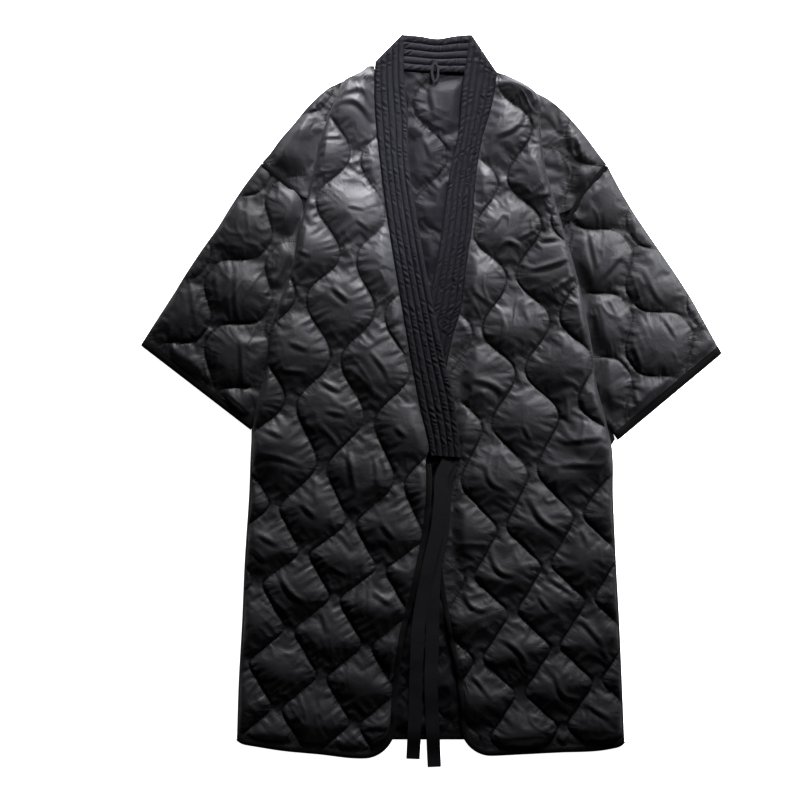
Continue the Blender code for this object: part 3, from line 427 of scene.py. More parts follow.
def curve_value(places: Sequence[float], values: Sequence[float], at: Array | float) -> Array:
    """Read a smooth curve through values at rising places.

    Args:
        places: Rising places.
        values: The curve's value at each of them.
        at: Places to read.

    Returns:
        The curve's values there.
    """
    places = np.asarray(places, float)
    values = np.asarray(values, float)
    slopes = np.gradient(values, places)
    at = np.clip(np.asarray(at, float), places[0], places[-1])
    piece = np.clip(np.searchsorted(places, at, side="right") - 1, 0, len(places) - 2)
    span = places[piece + 1] - places[piece]
    t = (at - places[piece]) / span
    start = (1 + 2 * t) * (1 - t) ** 2 * values[piece] + t * (1 - t) ** 2 * span * slopes[piece]
    end = t * t * (3 - 2 * t) * values[piece + 1] + t * t * (t - 1) * span * slopes[piece + 1]
    return start + end


def edge_x(rows: Sequence[Edge], y: Array | float) -> Array:
    """Read X of an edge table at Y.

    Args:
        rows: The table, from the head to the hem.
        y: Places down the coat.

    Returns:
        X of the edge there.
    """
    rows = rows[::-1]
    return curve_value([r.y for r in rows], [r.x for r in rows], y)


def spot_curve(spots: Sequence[Spot], t: Array | float) -> Array:
    """Follow a smooth curve through spots.

    Args:
        spots: The spots in order.
        t: Shares of the length, 0 to 1.

    Returns:
        Points with X and Y last.
    """
    xy = np.array([(s[0], s[1]) for s in spots], float)
    steps = np.linalg.norm(np.diff(xy, axis=0), axis=1)
    run = np.concatenate([[0.0], np.cumsum(steps)])
    at = np.asarray(t, float) * run[-1]
    return np.stack([curve_value(run, xy[:, 0], at), curve_value(run, xy[:, 1], at)], axis=-1)


def soft_noise(x: Array, y: Array, size: float, seed: int) -> Array:
    """Give smooth unevenness between -1 and 1.

    Args:
        x: Places along X.
        y: Places along Y.
        size: Size of one swell, in the same unit.
        seed: Which unevenness to give.

    Returns:
        One value for each place.
    """
    draw = np.random.default_rng(seed)
    table = draw.uniform(-1.0, 1.0, (64, 64))
    gx, gy = np.asarray(x, float) / size, np.asarray(y, float) / size
    ix, iy = np.floor(gx).astype(int), np.floor(gy).astype(int)
    fx, fy = gx - ix, gy - iy
    fx, fy = fx * fx * (3 - 2 * fx), fy * fy * (3 - 2 * fy)
    low = table[ix % 64, iy % 64] * (1 - fx) + table[(ix + 1) % 64, iy % 64] * fx
    high = table[ix % 64, (iy + 1) % 64] * (1 - fx) + table[(ix + 1) % 64, (iy + 1) % 64] * fx
    return low * (1 - fy) + high * fy


def soft_folds(x: Array, y: Array, seed: int) -> Array:
    """Give the lesser folds that run down and outwards, where cloth is to spare.

    Args:
        x: Places along X.
        y: Places along Y.
        seed: Which folds to give.

    Returns:
        From 0 on plain cloth to 1 on a fold.
    """
    lean = 0.35 * soft_noise(x, y, 90.0, seed + 40) + (0.35 if seed % 2 else -0.35)
    sideways = x * np.cos(lean) + y * np.sin(lean)
    onward = y * np.cos(lean) - x * np.sin(lean)
    swing = soft_noise(sideways / 13.0, onward / 46.0, 1.0, seed + 20)
    some = smooth_step(-0.35, 0.5, soft_noise(x, y, 34.0, seed + 60))
    return np.exp(-((swing / 0.2) ** 2)) * some


def crease_relief(x: Array, y: Array) -> Array:
    """Give the height of the main folds, each a ridge above a trough.

    Args:
        x: Places along X.
        y: Places along Y.

    Returns:
        Millimetres above or below the cloth.
    """
    total = np.zeros_like(x)
    for crease in MAIN_CREASES:
        path = spot_curve(crease.spots, np.linspace(0.0, 1.0, CREASE_SAMPLES))
        reach = 4.0 * crease.width
        close = ((x > path[:, 0].min() - reach) & (x < path[:, 0].max() + reach)
                 & (y > path[:, 1].min() - reach) & (y < path[:, 1].max() + reach))
        if not close.any():
            continue
        ahead = np.gradient(path, axis=0)
        ahead /= np.linalg.norm(ahead, axis=1, keepdims=True)
        upward = np.stack([-ahead[:, 1], ahead[:, 0]], axis=-1)
        if upward[:, 1].sum() < 0:
            upward = -upward
        dx = x[close][:, None] - path[None, :, 0]
        dy = y[close][:, None] - path[None, :, 1]
        best = np.argmin(dx**2 + dy**2, axis=1)
        pick = np.arange(len(best))
        off = (dx[pick, best] * upward[best, 0] + dy[pick, best] * upward[best, 1]) / crease.width
        taper = np.sin(math.pi * best / (CREASE_SAMPLES - 1)) ** 0.7
        total[close] += crease.height * taper * (
            np.exp(-(off**2)) - 0.7 * np.exp(-((off + 1.5) ** 2)))
    return total


class Seam(NamedTuple):
    """One stitch line as seen from places on the cloth."""

    place: Array
    run: Array
    near: Array


class Quilting:
    """Onion quilting: wavy stitch lines whose neighbours mirror each other."""

    wave = BODY_WAVE
    strays: Sequence[Stray] = ()

    def __init__(
        self, bulbs: Sequence[Bulb], spacing: float, slant: float, seed: int,
        strays: Sequence[Stray] = (), wave: float = BODY_WAVE,
    ) -> None:
        """Take the layout.

        Args:
            bulbs: Middles of one column of bulbs.
            spacing: Distance between the stitch lines.
            slant: How much the rows of bulbs rise per millimetre.
            seed: Which unevenness the puffs get.
            strays: Where lines leave their waves.
            wave: How far the lines swing to either side.
        """
        self.strays = strays
        self.wave = wave
        rows = bulbs[::-1]
        self.y = [b.y for b in rows]
        self.x = [b.x for b in rows]
        self.turn = [b.turn for b in rows]
        self.spacing = spacing
        self.slant = slant
        self.seed = seed

    def corners(self, along: Array) -> Array:
        """Give how sharp the waves are: pointed at the hem, rounded further up."""
        return SHARP + (ROUNDED - SHARP) * smooth_step(-260.0, 100.0, along)

    def frame(self, x: Array, y: Array) -> tuple[Array, Array]:
        """Give the place across and along the columns of bulbs."""
        return x - curve_value(self.y, self.x, y), y

    def turns(self, along: Array, across: Array | float) -> Array:
        """Give the number of turns of the wave at a place."""
        return curve_value(self.y, self.turn, along - self.slant * across)

    def line(self, number: int, along: Array) -> Array:
        """Give the place across the columns of one stitch line.

        Args:
            number: Which line.
            along: Places along the columns.

        Returns:
            Its places across; the rows' slant bends each wave to one side.
        """
        middle = (number + 0.5) * self.spacing
        side = self.wave if number % 2 == 0 else -self.wave
        for stray in self.strays:
            if stray.number == number:
                away = (along - stray.y) / stray.length
                middle = middle + stray.shift * np.exp(-(away**2))
        place = np.zeros_like(along) + middle
        corner = self.corners(along)
        for _ in range(3):
            turn = 2 * math.pi * self.turns(along, place)
            bend = (np.cos(turn) + corner * np.cos(3 * turn)) / (1 + corner)
            place = middle + side * bend
        return place

    def seams(self, x: Array, y: Array) -> list[Seam]:
        """Measure places on the cloth from every stitch line.

        Args:
            x: Places along X.
            y: Places along Y.

        Returns:
            Each line's own place, the run along it and the distance from it.
        """
        across, along = self.frame(np.asarray(x, float), np.asarray(y, float))
        table = np.arange(-RUN_REACH, RUN_REACH + 1.0)
        found = []
        for number in range(-MOST_LINES - 1, MOST_LINES + 1):
            place = self.line(number, along)
            slope = self.line(number, along + 1.0) - place
            lean = 1.0 + slope**2
            gap = across - place
            steps = np.hypot(1.0, np.diff(self.line(number, table)))
            run = np.concatenate([[0.0], np.cumsum(steps)])
            foot = np.interp(along + gap * slope / lean, table, run) + RUN_APART * number
            found.append(Seam(place, foot, np.abs(gap) / np.sqrt(lean)))
        return found

    def height(self, x: Array, y: Array, puff: float) -> Array:
        """Read the quilted height: puffs, puckers off the seams and main creases.

        Args:
            x: Places along X.
            y: Places along Y.
            puff: Height of a full bulb.

        Returns:
            Millimetres above a stitch line.
        """
        x, y = np.asarray(x, float), np.asarray(y, float)
        across = self.frame(x, y)[0]
        seams = self.seams(x, y)
        best = np.zeros_like(across)
        for low, high in zip(seams, seams[1:]):
            width = high.place - low.place
            t = (across - low.place) / width
            inside = (t > 0) & (t < 1)
            arch = np.sin(math.pi * np.clip(t, 0, 1)) ** 0.6
            size = np.clip(width / (self.spacing + 2 * self.wave), 0.0, 1.0) ** 1.05
            best = np.where(inside, arch * size, best)
        folds = np.zeros_like(across)
        for seam in seams:
            fold = soft_noise(seam.run, seam.near * 0.3, 6.5, self.seed)
            folds += fold * np.exp(-seam.near / 13.0) * smooth_step(0.0, 5.0, seam.near)
        swell = 1.0 + 0.2 * soft_noise(x, y, 46.0, self.seed)
        creases = CREASE * crease_relief(x, y) + SOFT_FOLD * soft_folds(x, y, self.seed)
        return puff * best * swell + PUCKER * folds + creases * smooth_step(0.1, 0.45, best)

    def nearest(self, x: Array, y: Array) -> Array:
        """Give the run along the nearest stitch line and the distance from it.

        Args:
            x: Places along X.
            y: Places along Y.

        Returns:
            Run, distance, and how much farther the next line is, in millimetres.
        """
        seams = self.seams(x, y)
        near = np.stack([seam.near for seam in seams])
        run = np.stack([seam.run for seam in seams])
        best = near.argmin(axis=0)[None]
        picked = [np.take_along_axis(stack, best, axis=0)[0] for stack in (run, near)]
        ordered = np.sort(near, axis=0)
        return np.stack([*picked, ordered[1] - ordered[0]], axis=-1)

    def crossings(self, path: Array) -> list[dict[int, float]]:
        """Find where rows of points cross the stitch lines.

        Args:
            path: Points with X and Y, by row.

        Returns:
            For each row, the shares of its points where it crosses, by line.
        """
        across, along = self.frame(path[..., 0], path[..., 1])
        found: list[dict[int, float]] = [{} for _ in path]
        for number in range(-MOST_LINES, MOST_LINES + 1):
            side = across - self.line(number, along)
            rows, points = np.nonzero(side[:, :-1] * side[:, 1:] < 0)
            before, after = side[rows, points], side[rows, points + 1]
            places = (points + before / (before - after)) / (path.shape[1] - 1)
            for row, place in zip(rows.tolist(), places.tolist()):
                found[row][number] = place
        return found


class ArmQuilting(Quilting):
    """The same quilting with its columns along a sleeve."""

    wave = SLEEVE_WAVE

    def __init__(self, middle: Spot, arm: tuple[float, float], spacing: float, seed: int) -> None:
        """Take the layout.

        Args:
            middle: The middle of one bulb.
            arm: Direction of the arm.
            spacing: Distance between the stitch lines.
            seed: Which unevenness the puffs get.
        """
        self.middle = middle
        self.arm = arm
        self.spacing = spacing
        self.seed = seed

    def corners(self, along: Array) -> Array:
        """Give how sharp the waves are: boxy all the way down the arm."""
        return BOXY + 0.0 * along

    def frame(self, x: Array, y: Array) -> tuple[Array, Array]:
        """Give the place across and along the arm."""
        dx = x - self.middle.x
        dy = y - self.middle.y
        return dx * -self.arm[1] + dy * self.arm[0], dx * self.arm[0] + dy * self.arm[1]

    def turns(self, along: Array, across: Array | float) -> Array:
        """Give the number of turns of the wave at a place."""
        return along / SLEEVE_PERIOD


RIGHT_QUILT = Quilting(RIGHT_BULBS, 60.0, -0.2, 3, RIGHT_STRAYS)
LEFT_QUILT = Quilting(LEFT_BULBS, 58.5, 0.16, 4, LEFT_STRAYS)
BACK_QUILT = Quilting(BACK_BULBS, 60.0, 0.0, 5, wave=BACK_WAVE)
RIGHT_ARM_QUILT = ArmQuilting(Spot(-289, 258), (-0.592, -0.806), 57.0, 6)
LEFT_ARM_QUILT = ArmQuilting(Spot(251, 208), (0.592, -0.806), 57.0, 7)


Place = Callable[[Array, Array], Array]


def snapped_grid(quilt: Quilting, place: Place, down: Array, count: int) -> tuple[Array, Array]:
    """Share rows out into columns, some moved onto the stitch lines.

    Args:
        quilt: The quilting.
        place: Gives X and Y at shares across and down the panel.
        down: The rows' shares down the panel.
        count: Number of columns.

    Returns:
        Points with X and Y by row and column, and which of them are on a line.
    """
    across, along = np.meshgrid(np.linspace(0.0, 1.0, PATH_SAMPLES), down)
    shares = np.zeros((len(down), count))
    on_line = np.zeros((len(down), count), bool)
    for row, crossed in enumerate(quilt.crossings(place(across, along))):
        anchors = {0: 0.0, count - 1: 1.0}
        for share in crossed.values():
            column = round(share * (count - 1))
            if 0 < column < count - 1 and column not in anchors:
                anchors[column] = share
        columns = sorted(anchors)
        shares[row] = np.interp(np.arange(count), columns, [anchors[c] for c in columns])
        on_line[row, [c for c in columns if 0 < c < count - 1]] = True
    return place(shares, np.repeat(down[:, None], count, axis=1)), on_line


def coons_point(sides: dict[str, list[Spot]], u: Array, v: Array) -> Array:
    """Give points of a four-sided patch.

    Args:
        sides: The patch's four edges.
        u: Shares from the top edge to the under edge.
        v: Shares from the armhole to the cuff.

    Returns:
        Points with X and Y last.
    """
    top = spot_curve(sides["top"], v)
    under = spot_curve(sides["under"], v)
    start = spot_curve(sides["armhole"], u)
    end = spot_curve(sides["cuff"], u)
    c00, c01 = spot_curve(sides["top"], 0.0), spot_curve(sides["top"], 1.0)
    c10, c11 = spot_curve(sides["under"], 0.0), spot_curve(sides["under"], 1.0)
    u = np.asarray(u, float)[..., None]
    v = np.asarray(v, float)[..., None]
    corners = (1 - u) * ((1 - v) * c00 + v * c01) + u * ((1 - v) * c10 + v * c11)
    return (1 - u) * top + u * under + (1 - v) * start + v * end - corners


def trimmed(sides: dict[str, list[Spot]], amount: float) -> dict[str, list[Spot]]:
    """Move a sleeve's cuff back along both edges.

    Args:
        sides: The sleeve's four edges.
        amount: How far.

    Returns:
        The four edges of the shorter sleeve.
    """
    cut = dict(sides)
    for side in ("top", "under"):
        dense = spot_curve(sides[side], np.linspace(0.0, 1.0, 9))
        length = np.linalg.norm(np.diff(dense, axis=0), axis=1).sum()
        kept = spot_curve(sides[side], np.linspace(0.0, 1.0 - amount / length, 9))
        cut[side] = [Spot(x, y) for x, y in kept]
    cut["cuff"] = [cut["top"][-1], cut["under"][-1]]
    return cut


def linear(hex_colour: str) -> tuple[float, float, float, float]:
    """Turn an sRGB hex colour to a linear one.

    Args:
        hex_colour: The colour as #rrggbb.

    Returns:
        Linear red, green, blue and alpha.
    """
    parts = [int(hex_colour[i : i + 2], 16) / 255 for i in (1, 3, 5)]
    channels = [c / 12.92 if c <= 0.04045 else ((c + 0.055) / 1.055) ** 2.4 for c in parts]
    return (channels[0], channels[1], channels[2], 1.0)


def add_node(
    tree: bpy.types.NodeTree,
    kind: str,
    settings: dict[str, object] | None = None,
    **inputs: object,
) -> bpy.types.Node:
    """Add a shader node.

    Args:
        tree: The material's node tree.
        kind: The node's type name without its prefix.
        settings: Properties of the node.
        **inputs: Socket values or links, by socket name with spaces as underscores, or
            by the socket's number as at0, at1 and so on.

    Returns:
        The node.
    """
    node = tree.nodes.new("ShaderNode" + kind)
    for name, value in (settings or {}).items():
        setattr(node, name, value)
    for name, value in inputs.items():
        if name.startswith("at"):
            socket = node.inputs[int(name[2:])]
        else:
            socket = next(s for s in node.inputs
                          if s.enabled and s.name.replace(" ", "_") == name)
        if isinstance(value, bpy.types.NodeSocket):
            tree.links.new(value, socket)
        else:
            socket.default_value = value
    return node


class Weave(Enum):
    """How a cloth is woven, which sets its finest bump."""

    SATIN = "satin"
    TWILL = "twill"
    RIBBED = "ribbed"


@dataclass(frozen=True)
class ClothFinish:
    """A woven cloth: its colour, gloss, fine creases and weave."""

    name: str
    colour: str
    lighter: str
    roughness: float
    sheen: float
    weave: Weave
    thread_mm: float
    crease_mm: float
    crease_depth_mm: float
    weave_depth_mm: float
    gloss: float
    quilted: bool = False

    @staticmethod
    def sew(
        tree: bpy.types.NodeTree, shader: bpy.types.Node, tint: bpy.types.Node,
        folds: bpy.types.Node,
    ) -> bpy.types.Node:
        """Add the rows of stitches, the fine gathers that run off them, and painted shade along
        the stitch lines.

        Args:
            tree: The material's node tree.
            shader: Its Principled shader.
            tint: The node that gives the cloth's colour.
            folds: The bump of the cloth's own creases.

        Returns:
            The last bump of the chain.
        """
        seam = add_node(tree, "Attribute", {"attribute_name": "seam"})
        parts = add_node(tree, "SeparateXYZ", Vector=seam.outputs["Vector"])
        run, near = parts.outputs["X"], parts.outputs["Y"]
        gather_at = add_node(tree, "VectorMath", {"operation": "MULTIPLY"},
                             at0=seam.outputs["Vector"],
                             at1=(1 / GATHER_PITCH, 1 / GATHER_LENGTH, 0.0))
        gather = add_node(tree, "TexNoise", Vector=gather_at.outputs["Vector"], Scale=1.0,
                          Detail=2.0, Distortion=0.25)
        fading = add_node(tree, "MapRange", Value=near, From_Min=0.0, From_Max=GATHER_REACH,
                          To_Min=1.0, To_Max=0.0)
        apart = add_node(tree, "MapRange", Value=parts.outputs["Z"], From_Min=0.0, From_Max=9.0,
                         To_Min=0.0, To_Max=1.0)
        kept = add_node(tree, "Math", {"operation": "MULTIPLY"},
                        at0=fading.outputs["Result"], at1=apart.outputs["Result"])
        centred = add_node(tree, "Math", {"operation": "SUBTRACT"},
                           at0=gather.outputs["Fac"], at1=0.5)
        gathered = add_node(tree, "Math", {"operation": "MULTIPLY"},
                            at0=centred.outputs["Value"], at1=kept.outputs["Value"])
        puckers = add_node(tree, "Bump", Height=gathered.outputs["Value"], Strength=1.0,
                           Distance=GATHER_DEPTH * MM, Normal=folds.outputs["Normal"])
        thread = add_node(tree, "Math", {"operation": "PINGPONG"}, at0=run, at1=STITCH)
        stitch = add_node(tree, "MapRange", Value=thread.outputs["Value"], From_Min=0.35,
                          From_Max=0.6, To_Min=0.0, To_Max=1.0)
        on_line = add_node(tree, "MapRange", Value=near, From_Min=0.35, From_Max=0.8,
                           To_Min=1.0, To_Max=0.0)
        sewn = add_node(tree, "Math", {"operation": "MULTIPLY"},
                        at0=stitch.outputs["Result"], at1=on_line.outputs["Result"])
        raised = add_node(tree, "Bump", Height=sewn.outputs["Value"], Strength=1.0,
                          Distance=STITCH_DEPTH * MM, Normal=puckers.outputs["Normal"])
        # Painted shade: the colour darkens towards near-black within a few millimetres of each
        # stitch line, standing for the shade in its groove
        painted_shade_share = add_node(tree, "MapRange", Value=near, From_Min=0.4, From_Max=2.6,
                        To_Min=0.75, To_Max=0.0)
        painted_shade_mix = add_node(tree, "Mix", {"data_type": "RGBA"}, at0=painted_shade_share.outputs["Result"],
                          at6=tint.outputs[2], at7=linear(PAINTED_SEAM_SHADE))
        tree.links.new(painted_shade_mix.outputs[2], shader.inputs["Base Color"])
        return raised

    def material(self) -> bpy.types.Material:
        """Make the material.

        Returns:
            A Principled material with procedural creases and weave.
        """
        made = bpy.data.materials.new(self.name)
        made.use_nodes = True
        tree = made.node_tree
        shader = tree.nodes["Principled BSDF"]
        place = add_node(tree, "TexCoord").outputs["Object"]
        drift = add_node(tree, "TexNoise", Vector=place, Scale=28.0, Detail=3.0, Roughness=0.6)
        tint = add_node(
            tree, "Mix", {"data_type": "RGBA"}, at0=drift.outputs["Fac"],
            at6=linear(self.colour), at7=linear(self.lighter),
        )
        tree.links.new(tint.outputs[2], shader.inputs["Base Color"])
        creases = add_node(
            tree, "TexNoise", Vector=place, Scale=1000.0 / self.crease_mm, Detail=5.0,
            Roughness=0.58, Distortion=0.9,
        )
        folds = add_node(
            tree, "Bump", Height=creases.outputs["Fac"], Strength=1.0,
            Distance=self.crease_depth_mm * MM,
        )
        if self.quilted:
            folds = self.sew(tree, shader, tint, folds)
        if self.weave is Weave.SATIN:
            grain = add_node(
                tree, "TexNoise", Vector=place, Scale=1000.0 / self.thread_mm, Detail=2.0,
            ).outputs["Fac"]
        else:
            along = add_node(tree, "UVMap").outputs["UV"]
            direction = "Y" if self.weave is Weave.RIBBED else "DIAGONAL"
            grain = add_node(
                tree, "TexWave", {"bands_direction": direction}, Vector=along,
                Scale=1000.0 / self.thread_mm / math.tau * math.pi, Distortion=0.4,
            ).outputs["Fac"]
        weave = add_node(
            tree, "Bump", Height=grain, Strength=1.0, Distance=self.weave_depth_mm * MM,
            Normal=folds.outputs["Normal"],
        )
        tree.links.new(weave.outputs["Normal"], shader.inputs["Normal"])
        shader.inputs["Roughness"].default_value = self.roughness
        shader.inputs["Sheen Weight"].default_value = self.sheen
        shader.inputs["Sheen Roughness"].default_value = 0.5
        shader.inputs["Specular IOR Level"].default_value = self.gloss
        shader.inputs["IOR"].default_value = 1.5
        return made


# Nylon satin, calendered: smooth floats give a broad soft gloss and fine creases
SATIN = ClothFinish(
    "calendered_nylon_satin", "#202023", "#2a2a2e", 0.58, 0.03, Weave.SATIN,
    0.9, 12.0, 0.6, 0.04, 0.3, True,
)
# The back's inside: the same satin with less gloss, its colour darkened as painted shade where it
# lies deep between the fronts
PAINTED_SHADE_SATIN = ClothFinish(
    "nylon_satin_lining", "#131317", "#1a1a1e", 0.56, 0.02, Weave.SATIN,
    0.9, 12.0, 0.6, 0.04, 0.12, True,
)
# The same satin in the band, pressed flatter between its rows of stitches
BAND_SATIN = ClothFinish(
    "channel_stitched_nylon_satin", "#131317", "#19191e", 0.7, 0.02, Weave.SATIN,
    0.9, 6.0, 0.5, 0.04, 0.1,
)
# Cotton twill tape, folded over the edges: matt, with a fine diagonal
TWILL = ClothFinish(
    "folded_cotton_twill_tape", "#0a0a0b", "#111113", 0.85, 0.02, Weave.TWILL,
    1.4, 7.0, 0.5, 0.12, 0.12,
)
# Polyester grosgrain: matt, with ribs across the ribbon
GROSGRAIN = ClothFinish(
    "woven_polyester_grosgrain", "#1a1a1d", "#222226", 0.8, 0.01, Weave.RIBBED,
    1.6, 12.0, 0.35, 0.3, 0.1,
)


@dataclass(frozen=True)
class Drape:
    """How the spare cloth behaves between the stitch lines."""

    spare_in_puffs: float = 0.012
    spare_at_seams: float = 0.05
    bend_in_puffs: float = 4.0
    bend_at_seams: float = 0.4
    pressure: float = 1.0
    frames: int = 16
    farthest_mm: float = 5.0


@dataclass
class Shell:
    """A cloth wall on one grid of points, in millimetres."""

    name: str
    outer: Array
    inner: Array
    sewn: Array
    slot: str
    finish: bpy.types.Material
    ring: bool = False
    seam: Array | None = None
    held: str = "laid"
    piece: bpy.types.Object | None = field(default=None, init=False)

    def unfold(self) -> None:
        """Make the outer side as an open sheet, from a grid laid onto its points."""
        rows, columns = self.outer.shape[:2]
        shape = bmesh.new()
        bmesh.ops.create_grid(
            shape, x_segments=columns - 1, y_segments=rows - 1, size=1.0, calc_uvs=True
        )
        shape.verts.ensure_lookup_table()
        shape.faces.ensure_lookup_table()
        number = shape.verts.layers.int.new("spot")
        uv = shape.loops.layers.uv.verify()
        reach = np.linalg.norm(np.diff(self.outer, axis=1), axis=2).sum(axis=1).mean() * MM
        drop = np.linalg.norm(np.diff(self.outer, axis=0), axis=2).sum(axis=0).mean() * MM
        for vert in shape.verts:
            row = round((vert.co.y + 1) / 2 * (rows - 1))
            column = round((vert.co.x + 1) / 2 * (columns - 1))
            vert[number] = row * columns + column
        flat = (self.outer.reshape(-1, 3) * MM).tolist()
        marks = self.sewn.reshape(-1).tolist()
        for face in list(shape.faces):
            for loop in face.loops:
                at = loop[uv].uv
                loop[uv].uv = (at.x * reach, at.y * drop)
            a, b, c, d = face.verts
            for one, other in ((a, c), (b, d)):
                if marks[one[number]] and marks[other[number]]:
                    bmesh.utils.face_split(face, one, other)
                    break
        for vert in shape.verts:
            vert.co = flat[vert[number]]
        if self.ring:
            bmesh.ops.remove_doubles(shape, verts=shape.verts, dist=0.00001)
        mesh = bpy.data.meshes.new(self.name)
        shape.to_mesh(mesh)
        shape.free()
        self.piece = bpy.data.objects.new(self.name, mesh)
        bpy.context.scene.collection.objects.link(self.piece)
        if self.seam is not None:
            marks = mesh.attributes.new("seam", "FLOAT_VECTOR", "POINT")
            marks.data.foreach_set("vector", self.seam.reshape(-1, 3)[self.spots()].ravel())

    def cut(self) -> tuple[float, float, float]:
        """Measure the flat piece of cloth.

        Returns:
            Its greatest width and length in metres and its area in square metres.
        """
        plain = self.outer.copy()
        plain[..., 2] = (self.inner[..., 2] + plain[..., 2].min()) / 2
        if self.ring:
            plain[..., 2] = self.inner[..., 2]
        across = np.diff(plain, axis=1)
        down = np.diff(plain, axis=0)
        width = np.linalg.norm(across, axis=2).sum(axis=1).max() * MM
        length = np.linalg.norm(down, axis=2).sum(axis=0).max() * MM
        corner = np.cross(across[:-1], down[:, :-1])
        area = np.linalg.norm(corner, axis=2).sum() * MM * MM
        return float(width), float(length), float(area)

    def points(self) -> Array:
        """Read the sheet's points.

        Returns:
            X, Y and Z of each point, in metres.
        """
        found = np.zeros(len(self.piece.data.vertices) * 3)
        self.piece.data.vertices.foreach_get("co", found)
        return found.reshape(-1, 3)

    def spots(self) -> Array:
        """Read where on the grid each point of the sheet belongs.

        Returns:
            Each point's number on the grid, row by row.
        """
        found = np.zeros(len(self.piece.data.vertices), np.int32)
        self.piece.data.attributes["spot"].data.foreach_get("value", found)
        return found

    def weigh(self, name: str, weights: Array) -> None:
        """Write a grid of weights, 0 to 1, to a vertex group.

        Args:
            name: The group's name.
            weights: One weight for each spot of the grid.
        """
        group = self.piece.vertex_groups.new(name=name)
        levels = np.round(weights.reshape(-1)[self.spots()], 1)
        for level in np.unique(levels):
            if level > 0:
                group.add(np.nonzero(levels == level)[0].tolist(), float(level), "REPLACE")

    def pin(self, held: Array, close: Array, rules: "Drape") -> None:
        """Set the sheet up as cloth whose held points stay in place.

        Args:
            held: Grid of holds, 0 free to 1 fixed.
            close: Grid of how close each spot is to a stitch line, 0 to 1.
            rules: How the cloth behaves.
        """
        self.weigh("held", held)
        self.weigh("gathered", close)
        self.weigh("smooth", 1 - close)
        cloth = self.piece.modifiers.new("cloth", "CLOTH")
        cloth.settings.quality = 4
        cloth.settings.mass = 0.05
        cloth.settings.air_damping = 1.0
        cloth.settings.tension_stiffness = 20.0
        cloth.settings.compression_stiffness = 20.0
        cloth.settings.shear_stiffness = 8.0
        cloth.settings.bending_stiffness = rules.bend_at_seams
        cloth.settings.bending_stiffness_max = rules.bend_in_puffs
        cloth.settings.vertex_group_bending = "smooth"
        cloth.settings.tension_damping = 3.0
        cloth.settings.compression_damping = 3.0
        cloth.settings.shear_damping = 3.0
        cloth.settings.bending_damping = 0.2
        cloth.settings.vertex_group_mass = "held"
        cloth.settings.pin_stiffness = 1.0
        cloth.settings.shrink_min = -rules.spare_in_puffs
        cloth.settings.shrink_max = -rules.spare_at_seams
        cloth.settings.vertex_group_shrink = "gathered"
        cloth.settings.effector_weights.gravity = 0.0
        cloth.settings.use_pressure = True
        cloth.settings.use_pressure_volume = True
        cloth.settings.target_volume = 0.0
        cloth.settings.uniform_pressure_force = rules.pressure
        cloth.collision_settings.use_collision = False
        cloth.collision_settings.use_self_collision = False

    def settle(self, most: float) -> None:
        """Keep the simulated shape, with each point's move capped.

        Args:
            most: The farthest that a point may move, in millimetres.
        """
        start = self.points()
        graph = bpy.context.evaluated_depsgraph_get()
        mesh = self.piece.evaluated_get(graph).data
        now = np.zeros(len(mesh.vertices) * 3)
        mesh.vertices.foreach_get("co", now)
        move = now.reshape(-1, 3) - start
        length = np.linalg.norm(move, axis=1, keepdims=True)
        limit = most * MM
        move *= np.where(length > limit, limit / np.maximum(length, 1e-9), 1.0)
        LOG.info("%s moved %.1f mm at most, %.2f mm in the mean", self.name,
                 length.max() / MM, length.mean() / MM)
        self.piece.modifiers.clear()
        self.piece.vertex_groups.clear()
        self.piece.data.vertices.foreach_set("co", (start + move).ravel())

    def line(self) -> bpy.types.Object:
        """Give the wall its plain inner side and dress it.

        Returns:
            The finished piece.
        """
        shape = bmesh.new()
        shape.from_mesh(self.piece.data)
        number = shape.verts.layers.int["spot"]
        flat = (self.inner.reshape(-1, 3) * MM).tolist()
        made = bmesh.ops.extrude_face_region(shape, geom=shape.faces[:], use_keep_orig=True)
        for part in made["geom"]:
            if isinstance(part, bmesh.types.BMVert):
                part.co = flat[part[number]]
        bmesh.ops.recalc_face_normals(shape, faces=shape.faces)
        shape.to_mesh(self.piece.data)
        shape.free()
        self.piece.data.shade_smooth()
        self.piece.data.set_sharp_from_angle(angle=math.radians(60))
        return dress(self.piece, self.finish, self.slot)


def dress(piece: bpy.types.Object, finish: bpy.types.Material, slot: str) -> bpy.types.Object:
    """Give a finished piece its material and let it ride on the coat.

    Args:
        piece: The piece.
        finish: Its material.
        slot: The record's material slot; not used.

    Returns:
        The piece.
    """
    piece.data.materials.clear()
    piece.data.materials.append(finish)
    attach(piece, "root")
    LOG.info("%s: %d faces", piece.name, len(piece.data.polygons))
    return piece


